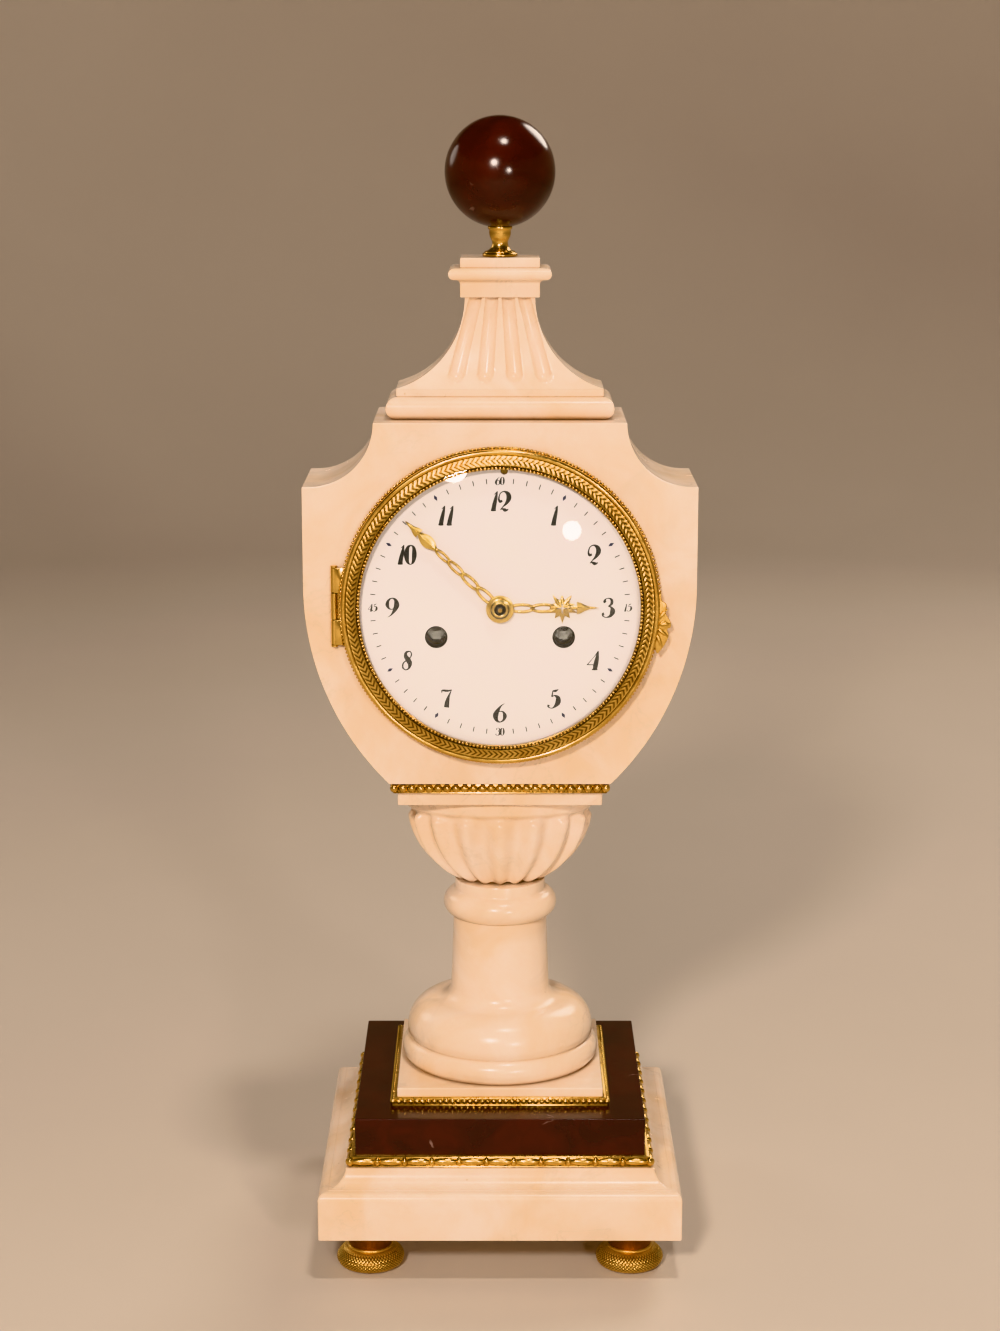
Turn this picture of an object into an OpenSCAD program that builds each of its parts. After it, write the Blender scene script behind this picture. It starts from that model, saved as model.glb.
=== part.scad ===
// Vase-shaped mantel clock in white marble, red marble and gilt bronze.
// X runs to the right, the dial faces -Y, +Z is up and the feet stand on z = 0.

/* [Base] */
// Distance from the plinth's side to a foot's centre
foot_inset = 21.8; // [17:0.1:27]
// Radius of a bun foot
foot_r = 15; // [12:0.5:17]
// Height of the bun under the foot's neck
bun_h = 9.5; // [8.5:0.1:11]
// Radius of the foot's neck
foot_neck_r = 11.8; // [8:0.1:12]
// Height of the foot's neck
foot_neck_h = 10.5; // [7:0.5:14]
// Width and depth of the plinth
plinth_w = 158.6; // [150:0.2:180]
// Height of the plinth's upright face
plinth_face_h = 18; // [12:0.5:26]
// Radius of the rounded arris above the face
plinth_arris_r = 3.5; // [2:0.1:5]
// Width of the flat step between arris and cove
plinth_step_w = 0.8; // [0.4:0.1:2]
// Radius of the cove above the step
plinth_cove_r = 7.4; // [5:0.1:9]
// Width and depth of the red marble block
block_w = 127.2; // [116:0.2:130]
// Height of the red marble block
block_h = 21.2; // [14:0.2:30]
// Width of the plate under the column
plate_w = 91.2; // [90:0.2:100]
// Thickness of that plate
plate_h = 7.4; // [6:0.1:12]
// Height of the bead strip round the block
lower_bead_h = 4.6; // [3:0.1:6]
// How far that strip stands out
lower_bead_w = 4.2; // [2:0.1:5]
// Height of the bead strip round the plate
upper_bead_h = 3.6; // [2.5:0.1:5]
// How far that strip stands out
upper_bead_w = 3.2; // [2:0.1:4]

/* [Column] */
// Height of the column
column_h = 84.4; // [75:0.2:100]
// Outer radius of the lower torus
torus_r = 44.5; // [40:0.1:45]
// Half thickness of the lower torus
torus_t = 6.5; // [5:0.1:7]
// Outer radius of the cushion on the torus
cushion_r = 42; // [38:0.1:43]
// Height of the cushion
cushion_h = 17.3; // [16:0.1:18]
// Radius of the cushion's rounding
cushion_round = 13; // [10:0.5:14]
// Radius of the shaft at its foot
shaft_foot_r = 22.3; // [20:0.1:24]
// Radius of the shaft under the upper torus
shaft_top_r = 21; // [18:0.1:22]
// Radius of the hollow where the shaft meets the cushion
shaft_fillet = 6.6; // [4:0.1:7]
// Outer radius of the upper torus
collar_r = 25.5; // [23:0.1:28]
// Half thickness of the upper torus
collar_t = 6.1; // [4:0.1:7]
// Radius of the neck under the bowl
neck_r = 20.3; // [19:0.1:22]
// Height of the neck under the bowl
neck_h = 4.8; // [3:0.1:7]

/* [Bowl] */
// Height of the gadrooned bowl
bowl_h = 40; // [34:0.5:50]
// Half width of the bowl's rim
bowl_rim_x = 41.8; // [36:0.2:44]
// Half depth of the bowl's rim
bowl_rim_y = 22.6; // [20:0.2:26]
// Radius of the bowl's side curve
bowl_curve_r = 37; // [34:0.5:40]
// Half depth of the bowl's foot
bowl_foot_y = 14; // [12:0.2:16]
// Height of the smooth band under the rim
bowl_band_h = 5.6; // [4:0.1:8]
// Number of lobes
lobes = 16; // [12:4:20]
// Depth of the grooves between lobes
lobe_depth = 2.2; // [1:0.1:2.4]
// Half width of the slab on the bowl
slab_x = 45.1; // [44:0.1:47]
// Half depth of that slab
slab_y = 25.6; // [24:0.1:27]
// Thickness of that slab
slab_h = 6.2; // [4:0.1:9]
// Height of the bead strip under the case
case_bead_h = 4.2; // [3:0.1:6]

/* [Case] */
// Height of the case
case_h = 159.3; // [156:0.1:175]
// Depth of the case
case_d = 58; // [54:0.5:64]
// Half width of the case
case_x = 85.2; // [82:0.1:90]
// Half width of the case at its foot
case_foot_x = 48.6; // [47:0.1:54]
// Height at which the upright sides start
case_side_z = 88; // [80:0.5:95]
// Half width of the case's top
case_top_x = 54.4; // [52:0.1:58]
// Radius of the scooped shoulders
scoop_r = 27.6; // [24:0.1:30]
// Radius of the bore for dial and movement
bore_r = 56; // [55.5:0.1:57]
// Height of the dial's centre above the case's foot
dial_z = 80.1; // [79:0.1:82]

/* [Pediment] */
// Half width of the rounded base moulding
ped_x = 49.2; // [46:0.1:52]
// Half depth of the base moulding
ped_y = 21.5; // [20:0.1:26]
// Height of the base moulding
ped_base_h = 9.7; // [8:0.1:12]
// How far the step above it is set in
ped_step = 4.5; // [3:0.1:6]
// Height of that step
ped_step_h = 3.4; // [2:0.1:5]
// Height of the concave roof
roof_h = 38.8; // [34:0.2:44]
// Half width of the roof's top
roof_top_x = 15.1; // [14:0.1:17]
// Half depth of the roof's top
roof_top_y = 10.5; // [9:0.1:12]
// Radius of the roof's hollow front
roof_front_r = 112; // [90:1:140]
// Number of flutes on the front
flutes = 4; // [2:1:5]
// Radius of a flute
flute_r = 3.4; // [2.6:0.1:3.8]
// Depth of a flute
flute_depth = 2.3; // [1:0.1:2.5]
// Distance between flutes at their lower ends
flute_pitch_low = 12.4; // [10:0.1:13]
// Distance between flutes at the top
flute_pitch_top = 6.9; // [6:0.1:7.2]
// Half width of the cap's neck
cap_neck_x = 17.1; // [16:0.1:19]
// Half depth of the cap's neck
cap_neck_y = 11.8; // [11:0.1:14]
// Height of the cap's neck
cap_neck_h = 5.2; // [3:0.1:8]
// Radius of the cove under the cap's moulding
cap_cove_r = 2.2; // [1:0.1:3]
// How far the cap's moulding stands out
cap_out = 5.1; // [4:0.1:7]
// Height of the cap's rounded moulding
cap_mould_h = 5; // [3:0.1:7]
// Height of the slab on the cap
cap_slab_h = 4.3; // [3:0.1:6]

/* [Finial] */
// Height of the gilt stem
stem_h = 12.6; // [9:0.1:18]
// Radius of the stem's foot
stem_foot_r = 7.6; // [6:0.1:10]
// Radius of the stem's waist
stem_waist_r = 3.4; // [2.9:0.1:4.5]
// Radius of the stem's top
stem_top_r = 5.3; // [4.6:0.1:7]
// Radius of the red marble ball
ball_r = 23.8; // [18:0.1:30]
// Radius of the tie rods
rod_r = 3; // [2.5:0.1:3.5]

/* [Dial and bezel] */
// Radius of the enamel dial
dial_r = 61.4; // [61:0.1:62]
// How far the dial's centre bulges
dial_bulge = 2.2; // [1:0.1:3]
// Thickness of the dial
dial_t = 1.6; // [1:0.1:2]
// Radius of a winding hole
winding_hole_r = 4.95; // [4.2:0.05:6]
// Half distance between winding holes
winding_x = 27.5; // [27:0.1:28]
// Depth of the winding holes below the centre
winding_z = 12.8; // [12.5:0.1:13.1]
// Outer radius of the hinged bezel
bezel_r = 69.9; // [69.5:0.1:71]
// Radius of the bezel's clear opening
bezel_open_r = 60.4; // [59:0.1:60.6]
// How far the bezel stands forward
bezel_depth = 10.1; // [10:0.1:11]
// Thickness of the glass
glass_t = 1.5; // [1:0.1:2]
// How far the glass is domed
glass_dome = 9; // [8.5:0.1:12]
// Length of the bezel's hinge
hinge_len = 34; // [24:1:44]
// Radius of a hinge knuckle
knuckle_r = 1.5; // [1.4:0.05:1.8]
// Length of the minute hand
minute_len = 56; // [50:0.5:56.5]
// Length of the hour hand
hour_len = 42.5; // [36:0.5:46]
// Rest angle of the minute hand, clockwise from 12
minute_at = 313.4; // [0:0.1:360]
// Rest angle of the hour hand, clockwise from 12
hour_at = 89.5; // [0:0.1:360]

/* [Movement] */
// Radius of the movement's plates
plate_r = 46; // [45.5:0.1:47]
// Thickness of a movement plate
mplate_t = 2.2; // [1.6:0.1:2.4]
// Distance between the plates
plate_gap = 36.3; // [36.1:0.1:37]
// Radius of the pillars
pillar_r = 2.8; // [2:0.1:3]
// Radius of a spring barrel
barrel_r = 15.4; // [13:0.1:15.6]
// Length of a spring barrel's drum
barrel_len = 17; // [12:0.5:18]
// Radius of the winding arbors
winding_arbor_r = 2.6; // [2.2:0.1:3]
// Thickness of the train wheels
wheel_t = 1.2; // [0.8:0.1:1.4]
// Radius of the train arbors
arbor_r = 1; // [0.8:0.05:1.1]
// Radius of the pendulum bob
bob_r = 9; // [6:0.5:9.5]
// Thickness of the pendulum bob
bob_t = 4.4; // [3:0.1:5]
// Radius of the bell's mouth
bell_r = 32; // [28:0.5:32]
// Distance from the bell's back to the outer face of the rear door
bell_clear = 6.9; // [6.9:0.1:9]
// Depth of the rear door
door_depth = 16; // [15.5:0.1:18]

/* [Hidden] */
$fn = 96;
eps = 0.01;
// Running clearance round a turning pin or arbor, on the radius
run = 0.06;
// Space between parts that are placed near each other
gap = 0.3;
screw_r = 0.9;
strap_t = 3;
marble = "#e9e2d6";
griotte = "#4a1712";
gilt = "#c9973f";
brass = "#b9924a";
steel = "#8d9096";
enamel = "#f3efe4";
glass = "#cfe3e6";

z_plinth = bun_h + foot_neck_h;
plinth_h = plinth_face_h + plinth_arris_r + plinth_cove_r;
z_block = z_plinth + plinth_h;
z_plate = z_block + block_h;
z_column = z_plate + plate_h;
z_bowl = z_column + column_h;
z_slab = z_bowl + bowl_h;
z_case_bead = z_slab + slab_h;
z_case = z_case_bead + case_bead_h;
z_dial = z_case + dial_z;
z_ped = z_case + case_h;
z_roof = z_ped + ped_base_h + ped_step_h;
z_cap = z_roof + roof_h;
cap_h = cap_neck_h + cap_cove_r + cap_mould_h + cap_slab_h;
z_stem = z_cap + cap_h;
z_ball = z_stem + stem_h + ball_r - 0.4;
foot_x = plinth_w / 2 - foot_inset;

rod_hole_r = rod_r + 0.3;
nut_r = rod_r + 3;
nut_h = 3;
foot_stud_r = 2.4;
foot_stud_h = plinth_face_h - 4;
case_floor = dial_z - bore_r;

// Depths on the dial's axis, measured out from the case's face
ring_t = 2;
ring_r = 68.6;
spigot_len = 7;
spigot_r = bore_r - 0.2;
spigot_in = spigot_r - 1.5;
false_t = 1;
z_false = ring_t;
z_enamel = z_false + false_t;
dial_front = z_enamel + dial_t;
hour_z = dial_front + dial_bulge + 0.5;
hand_t = 0.6;
minute_z = hour_z + hand_t + 0.45;
collet_z = minute_z + hand_t;
glass_z = bezel_depth - 1 - glass_t;
hinge_x = -(bezel_r + knuckle_r + 0.2);
hinge_z = knuckle_r + 0.2;
hinge_gap = 0.3;
pin_r = 0.8;
// Back of the thumb-piece, on the outer bead ring
latch_z = 4.6;

// Depths inside the case, measured in from the case's face
plate_z = spigot_len + mplate_t;
back_z = plate_z + plate_gap;
rear_face = case_d;
pendulum_z = back_z + mplate_t + 4.2;
bell_z = pendulum_z + 3.2;
bell_d = rear_face + door_depth - bell_clear - bell_z;

// Wheels and pinions: teeth and module of each pair
barrel_teeth = 80;
barrel_m = 0.42;
slow_pinion = 12;
inter_teeth = 60;
inter_m = 0.42;
centre_pinion = 10;
centre_teeth = 80;
centre_m = 0.32;
third_pinion = 8;
third_teeth = 72;
third_m = 0.32;
escape_pinion = 8;
escape_teeth = 30;
escape_r = 7.6;
minute_teeth = 36;
cannon_teeth = 12;
motion_m = 0.4;
hour_teeth = 40;
minute_pinion = 10;
hour_m = motion_m * (cannon_teeth + minute_teeth) / (minute_pinion + hour_teeth);
strike_teeth = 72;
strike_m = 0.36;
pin_pinion = 10;
pin_teeth = 60;
pin_m = 0.34;
lock_pinion = 8;
lock_teeth = 56;
lock_m = 0.34;
fly_pinion = 8;

function centres(a, b, m) = m * (a + b) / 2;
function ray(deg) = [cos(deg), sin(deg)];
function bearing(p, q) = atan2(q[1] - p[1], q[0] - p[0]);
// Point at distance ra from p and rb from q, on the left of the way from p to q
function reach(p, q, ra, rb) =
    let (d = norm(q - p), a = (ra * ra - rb * rb + d * d) / (2 * d), h = sqrt(ra * ra - a * a),
         u = (q - p) / d)
    p + a * u + h * [-u[1], u[0]];

centre_at = [0, 0];
going_at = [winding_x, -winding_z];
strike_at = [-winding_x, -winding_z];
inter_at = reach(centre_at, going_at, centres(inter_teeth, centre_pinion, inter_m),
                 centres(barrel_teeth, slow_pinion, barrel_m));
third_at = centres(centre_teeth, third_pinion, centre_m) * ray(110);
escape_at = [0, third_at[1] + sqrt(pow(centres(third_teeth, escape_pinion, third_m), 2)
                            - pow(third_at[0], 2))];
pallet_at = [0, 37];
// Room under the pendulum bob, which its nut hangs into
bob_clear = 4.3;
pendulum_len = pallet_at[1] + spigot_in - bob_r - bob_clear;
// Layers of the train, measured back from the front plate
lock_layer = 8;
third_layer = 15;
escape_layer = 20;
slow_layer = 25;
pins_layer = 30;
hammer_pin_r = 8.6;
minute_at_p = [0, -centres(minute_teeth, cannon_teeth, motion_m)];
slow_at = strike_at + centres(barrel_teeth, slow_pinion, barrel_m) * ray(95);
pins_at = slow_at + centres(strike_teeth, pin_pinion, strike_m) * ray(40);
lock_at = pins_at + centres(pin_teeth, lock_pinion, pin_m) * ray(85);
fly_at = lock_at + centres(lock_teeth, fly_pinion, lock_m) * ray(60);
hammer_at = [-20, -36];
pillar_spots = [for (a = [35, 145, 257, 283]) (plate_r - 5) * ray(a)];
post_spots = [for (a = [55, 125, 215, 325]) (plate_r - 2.6) * ray(a)];

// Places children with their z axis out of the dial, from the case's front face
module on_dial() {
    translate([0, -case_d / 2, z_dial]) rotate([90, 0, 0]) children();
}

// The same from the case's back face, looking out backwards
module on_back() {
    translate([0, case_d / 2, z_dial]) rotate([90, 0, 180]) children();
}

// Places children inside the case at point p, z axis running back from the face
module inside(p, depth) {
    on_dial() translate([p[0], p[1], -depth]) mirror([0, 0, 1]) children();
}

module rod(r, h) {
    cylinder(r = r, h = h);
}

// Plan outline with the same moulding on all four sides, mitred at the corners
module swept(hx, hy) {
    span = 4 * max(hx, hy);
    intersection() {
        rotate([90, 0, 0]) linear_extrude(span, center = true)
            for (side = [0, 1]) mirror([side, 0]) translate([hx, 0]) { $half = hx; children(); }
        rotate([90, 0, 90]) linear_extrude(span, center = true)
            for (side = [0, 1]) mirror([side, 0]) translate([hy, 0]) { $half = hy; children(); }
    }
}

module bar(h, out = 0) {
    translate([-$half, 0]) square([$half + out, h]);
}

// Square frame of a bead strip: a flat band with a half-round face
module bead_strip(inner_x, inner_y, out, h) {
    r = h / 2;
    difference() {
        swept(inner_x + out, inner_y + out) {
            translate([-$half, 0]) square([$half - r, h]);
            translate([-r, r]) circle(r);
        }
        translate([-inner_x, -inner_y, -1]) cube([2 * inner_x, 2 * inner_y, h + 2]);
    }
}

// Gear blank outline; a tooth, or a gap when open is true, points at the angle aim
module toothed(n, m, aim, open = false) {
    root = open ? 0.19 : 0.23;
    tip = open ? 0.09 : 0.08;
    out = open ? 0.7 : 0.8;
    depth = open ? 1.2 : 1.2;
    start = aim + (open ? 180 / n : 0);
    pitch = 360 / n;
    polygon([for (i = [0:n - 1], k = [0:3])
        m * (n / 2 + (k == 1 || k == 2 ? out : -depth))
        * ray(start + pitch * (i + [-root, -tip, tip, root][k]))]);
}

// Crossed-out wheel rim with four spokes
module wheel(n, m, aim) {
    rim = m * (n / 2 - 1.2) - 1.4;
    linear_extrude(wheel_t) difference() {
        toothed(n, m, aim);
        difference() {
            circle(rim);
            circle(3);
            for (a = [0, 90]) rotate(a + 45) square([2 * rim + 2, 1.6], center = true);
        }
    }
}

module pinion(n, m, aim, h) {
    linear_extrude(h) toothed(n, m, aim, true);
}

// Arbor from plate to plate with a pivot at each end
module train_arbor() {
    pivot = arbor_r - 0.3;
    translate([0, 0, -mplate_t]) rod(pivot, plate_gap + 2 * mplate_t);
    translate([0, 0, 0.2]) rod(arbor_r, plate_gap - 0.4);
}

module foot() {
    color(gilt) {
        rotate_extrude() {
            polygon([[0, 0], [foot_r - 4.6, 0], [foot_r - 1.6, 1.2], [foot_r - 1.6, bun_h],
                     [foot_neck_r, bun_h], [foot_neck_r, z_plinth], [0, z_plinth]]);
            translate([foot_r - 4.6, bun_h / 2]) circle(bun_h / 2 - 0.15);
        }
        translate([0, 0, z_plinth - eps]) rod(foot_stud_r, foot_stud_h);
    }
}

module at_feet() {
    for (x = [-1, 1], y = [-1, 1]) translate([x * foot_x, y * foot_x, 0]) children();
}

// Moulded plinth, drilled for the feet's studs and the tie rod
module plinth() {
    half = plinth_w / 2;
    color(marble) translate([0, 0, z_plinth]) difference() {
        swept(half, half) {
            bar(plinth_face_h);
            translate([-$half, 0]) square([$half - plinth_arris_r, plinth_face_h + plinth_arris_r]);
            translate([-plinth_arris_r, plinth_face_h]) circle(plinth_arris_r);
            difference() {
                translate([-$half, 0])
                    square([$half - plinth_arris_r - plinth_step_w, plinth_h]);
                translate([-plinth_arris_r - plinth_step_w, plinth_h]) circle(plinth_cove_r);
            }
        }
        at_feet() translate([0, 0, -1]) rod(foot_stud_r + gap, foot_stud_h + 1.4);
        translate([0, 0, -1]) rod(nut_r + 2, nut_h + 3);
        rod(rod_hole_r, plinth_h + 1);
    }
}

module lower_beading() {
    color(gilt) translate([0, 0, z_block])
        bead_strip(block_w / 2, block_w / 2, lower_bead_w, lower_bead_h);
}

module griotte_block() {
    color(griotte) translate([0, 0, z_block]) difference() {
        translate([-block_w / 2, -block_w / 2, 0]) cube([block_w, block_w, block_h]);
        translate([0, 0, -1]) rod(rod_hole_r, block_h + 2);
    }
}

module upper_beading() {
    color(gilt) translate([0, 0, z_plate])
        bead_strip(plate_w / 2, plate_w / 2, upper_bead_w, upper_bead_h);
}

module column_plate() {
    color(marble) translate([0, 0, z_plate]) difference() {
        translate([-plate_w / 2, -plate_w / 2, 0]) cube([plate_w, plate_w, plate_h]);
        translate([0, 0, -1]) rod(rod_hole_r, plate_h + 2);
    }
}

// Turned column foot: torus, cushion, hollow throat, shaft, upper torus and neck
module column() {
    sunk = 1.6;
    torus_z = torus_t - sunk;
    cushion_z = torus_z + torus_t - sunk / 2;
    cushion_top = cushion_z + cushion_h;
    collar_z = column_h - neck_h - collar_t - 0.2;
    shaft_z = cushion_top + shaft_fillet;
    color(marble) translate([0, 0, z_column]) difference() {
        rotate_extrude() difference() {
            union() {
                square([torus_r - torus_t, torus_z + torus_t]);
                intersection() {
                    translate([torus_r - torus_t, torus_z]) circle(torus_t);
                    square([torus_r, 2 * torus_t + torus_z]);
                }
                translate([0, cushion_z]) square([cushion_r, cushion_top - cushion_z - cushion_round]);
                translate([0, cushion_z]) square([cushion_r - cushion_round, cushion_top - cushion_z]);
                translate([cushion_r - cushion_round, cushion_top - cushion_round])
                    circle(cushion_round);
                difference() {
                    translate([0, cushion_top - eps])
                        square([shaft_foot_r + shaft_fillet, shaft_fillet + eps]);
                    translate([shaft_foot_r + shaft_fillet, shaft_z]) circle(shaft_fillet);
                }
                polygon([[0, shaft_z - eps], [shaft_foot_r, shaft_z - eps], [shaft_top_r, collar_z],
                         [0, collar_z]]);
                translate([0, collar_z - collar_t + sunk])
                    square([collar_r - collar_t, 2 * collar_t - sunk]);
                translate([collar_r - collar_t, collar_z]) circle(collar_t);
                square([neck_r, column_h]);
            }
            translate([-20, -1]) square([20, column_h + 2]);
        }
        translate([0, 0, -1]) rod(rod_hole_r, column_h + 2);
    }
}

// Flattened bowl with rounded lobes that fade into a smooth band under the rim
bowl_steps = 14;
bowl_sides = lobes * 8;
bowl_low_h = bowl_h - bowl_band_h;
bowl_foot_x = bowl_rim_x - bowl_curve_r + sqrt(pow(bowl_curve_r, 2) - pow(bowl_low_h, 2));
function bowl_x(h) = bowl_rim_x - bowl_curve_r
    + sqrt(pow(bowl_curve_r, 2) - pow(max(0, bowl_low_h - h), 2));
function bowl_y(h) = bowl_foot_y + (bowl_rim_y - bowl_foot_y)
    * (bowl_x(h) - bowl_foot_x) / (bowl_rim_x - bowl_foot_x);
function groove(h, t) = lobe_depth * min(1, max(0, (bowl_low_h + 1 - h) / 3)) * bowl_x(h) / bowl_rim_x
    * (1 - sqrt(abs(cos(lobes * (t - 270) / 2))));
function bowl_height(i) = i < bowl_steps ? bowl_low_h * i / (bowl_steps - 1)
    : (i == bowl_steps ? bowl_low_h + 0.8 : bowl_h);

module bowl() {
    rings = bowl_steps + 2;
    points = [for (i = [0:rings - 1], k = [0:bowl_sides - 1])
        let (h = bowl_height(i), t = 360 * k / bowl_sides, g = groove(h, t))
        [(bowl_x(h) - g) * cos(t), (bowl_y(h) - g) * sin(t), h]];
    sides = [for (i = [0:rings - 2], k = [0:bowl_sides - 1])
        let (a = i * bowl_sides + k, b = i * bowl_sides + (k + 1) % bowl_sides)
        each [[a, a + bowl_sides, b], [b, a + bowl_sides, b + bowl_sides]]];
    base = [for (k = [0:bowl_sides - 1]) k];
    top = [for (k = [0:bowl_sides - 1]) (rings - 1) * bowl_sides + bowl_sides - 1 - k];
    color(marble) translate([0, 0, z_bowl]) difference() {
        polyhedron(points, concat(sides, [base, top]), convexity = 6);
        translate([0, 0, -1]) rod(rod_hole_r, bowl_h + 2);
    }
}

module bowl_slab() {
    color(marble) translate([0, 0, z_slab]) difference() {
        translate([-slab_x, -slab_y, 0]) cube([2 * slab_x, 2 * slab_y, slab_h]);
        translate([0, 0, -1]) rod(rod_hole_r, slab_h + 2);
    }
}

module case_beading() {
    half_x = case_foot_x - 0.2;
    half_y = case_d / 2 + 0.8;
    color(gilt) translate([0, 0, z_case_bead]) difference() {
        bead_strip(3, 3, half_x - 3, case_bead_h);
        translate([-half_x - 1, half_y, -1]) cube([2 * half_x + 2, half_x, case_bead_h + 2]);
        mirror([0, 1, 0])
            translate([-half_x - 1, half_y, -1]) cube([2 * half_x + 2, half_x, case_bead_h + 2]);
        translate([0, 0, -1]) rod(rod_hole_r, case_bead_h + 2);
    }
}

module rod_nut(z) {
    translate([0, 0, z]) difference() {
        cylinder(r = nut_r, h = nut_h, $fn = 6);
        translate([0, 0, -1]) rod(rod_r, nut_h + 2);
    }
}

module tie_rod_nuts() {
    color(steel) {
        rod_nut(z_plinth + 5 - nut_h);
        rod_nut(z_case + case_floor + 0.4);
        rod_nut(z_dial + sqrt(pow(bore_r, 2) - pow(nut_r, 2)) - nut_h);
    }
}

module case_outline() {
    rise = case_x - case_foot_x;
    side_r = (rise * rise + case_side_z * case_side_z) / (2 * rise);
    scoop_x = case_top_x + scoop_r;
    intersection() {
        translate([case_x - side_r, case_side_z]) circle(side_r);
        translate([side_r - case_x, case_side_z]) circle(side_r);
        translate([-case_x, 0]) square([2 * case_x, case_side_z]);
    }
    difference() {
        translate([-case_x, case_side_z - eps]) square([2 * case_x, case_h - case_side_z + eps]);
        for (side = [0, 1]) mirror([side, 0]) {
            translate([scoop_x, case_h]) circle(scoop_r);
            translate([scoop_x, case_h - scoop_r]) square([case_x, scoop_r + 1]);
        }
    }
}

module case() {
    color(marble) difference() {
        translate([0, case_d / 2, z_case]) rotate([90, 0, 0])
            linear_extrude(case_d) case_outline();
        translate([0, case_d, z_dial]) rotate([90, 0, 0]) rod(bore_r, 2 * case_d);
        translate([0, 0, z_case - 1]) rod(rod_hole_r, case_h + 2);
    }
}

// Centre of the circle of radius r through p and q, on the left of the way from p to q
function arc_centre(p, q, r) =
    let (d = norm(q - p), u = (q - p) / d, h = sqrt(r * r - d * d / 4))
    (p + q) / 2 + h * [-u[1], u[0]];

roof_x = ped_x - ped_step;
roof_y = ped_y - ped_step;
front_c = arc_centre([roof_top_y, roof_h], [roof_y, 0], roof_front_r);

// Outline of the roof's front at height h
function front_y(h) = front_c[0] - sqrt(pow(roof_front_r, 2) - pow(h - front_c[1], 2));
flute_sides = 16;
flute_rings = 12;

// One flute: a bent round cut that follows the roof's hollow front, round at its lower end
module flute(low, top) {
    foot = 3.4;
    first = foot + flute_r;
    span = roof_h + 2 - first;
    function ring_h(i) = i < 3 ? first - flute_r * cos(35 * i) : first + span * (i - 3) / (flute_rings - 4);
    function ring_r(i) = flute_r * (i < 3 ? max(0.05, sin(35 * i)) : 1);
    function ring_x(h) = low + (top - low) * (h - first) / (roof_h - first);
    points = [for (i = [0:flute_rings - 1], k = [0:flute_sides - 1])
        let (h = ring_h(i), a = 360 * k / flute_sides)
        [ring_x(h) + ring_r(i) * cos(a), -front_y(h) - flute_r + flute_depth + ring_r(i) * sin(a), h]];
    sides = [for (i = [0:flute_rings - 2], k = [0:flute_sides - 1])
        let (a = i * flute_sides + k, b = i * flute_sides + (k + 1) % flute_sides)
        each [[a, a + flute_sides, b], [b, a + flute_sides, b + flute_sides]]];
    base = [for (k = [0:flute_sides - 1]) k];
    lid = [for (k = [0:flute_sides - 1]) flute_rings * flute_sides - 1 - k];
    polyhedron(points, concat(sides, [base, lid]));
}

module pediment() {
    r = ped_base_h / 2;
    step = ped_step_h + r;
    side_r = (pow(roof_x - roof_top_x, 2) + roof_h * roof_h) / (2 * (roof_x - roof_top_x));
    color(marble) translate([0, 0, z_ped]) difference() {
        union() {
            swept(ped_x, ped_y) {
                translate([-$half, 0]) square([$half - r, ped_base_h]);
                translate([-r, r]) circle(r);
            }
            translate([0, 0, ped_base_h + ped_step_h]) difference() {
                intersection() {
                    rotate([90, 0, 0]) linear_extrude(4 * roof_y, center = true) difference() {
                        translate([-roof_x, -step]) square([2 * roof_x, step + roof_h]);
                        for (side = [0, 1]) mirror([side, 0])
                            translate([roof_top_x + side_r, roof_h]) circle(side_r);
                    }
                    rotate([90, 0, 90]) linear_extrude(4 * roof_x, center = true) difference() {
                        translate([-roof_y, -step]) square([2 * roof_y, step + roof_h]);
                        for (side = [0, 1]) mirror([side, 0]) translate(front_c)
                            circle(roof_front_r, $fn = 360);
                    }
                }
                for (i = [0:flutes - 1]) {
                    n = i - (flutes - 1) / 2;
                    flute(n * flute_pitch_low, n * flute_pitch_top);
                }
            }
        }
        translate([0, 0, -1]) rod(rod_hole_r, z_cap);
    }
}

module pediment_cap() {
    r = cap_mould_h / 2;
    color(marble) translate([0, 0, z_cap]) difference() {
        union() {
            translate([-cap_neck_x, -cap_neck_y, 0])
                cube([2 * cap_neck_x, 2 * cap_neck_y, cap_neck_h + eps]);
            translate([0, 0, cap_neck_h]) swept(cap_neck_x + cap_out, cap_neck_y + cap_out) {
                difference() {
                    translate([-$half, 0]) square([$half - cap_out + cap_cove_r, cap_cove_r + eps]);
                    translate([cap_cove_r - cap_out, 0]) circle(cap_cove_r);
                }
                translate([-$half, cap_cove_r]) square([$half - r, cap_mould_h]);
                translate([-r, cap_cove_r + r]) circle(r);
            }
            translate([-cap_neck_x, -cap_neck_y, cap_h - cap_slab_h - eps])
                cube([2 * cap_neck_x, 2 * cap_neck_y, cap_slab_h + eps]);
        }
        translate([0, 0, -1]) rod(rod_hole_r, cap_h + 2);
    }
}

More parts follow.
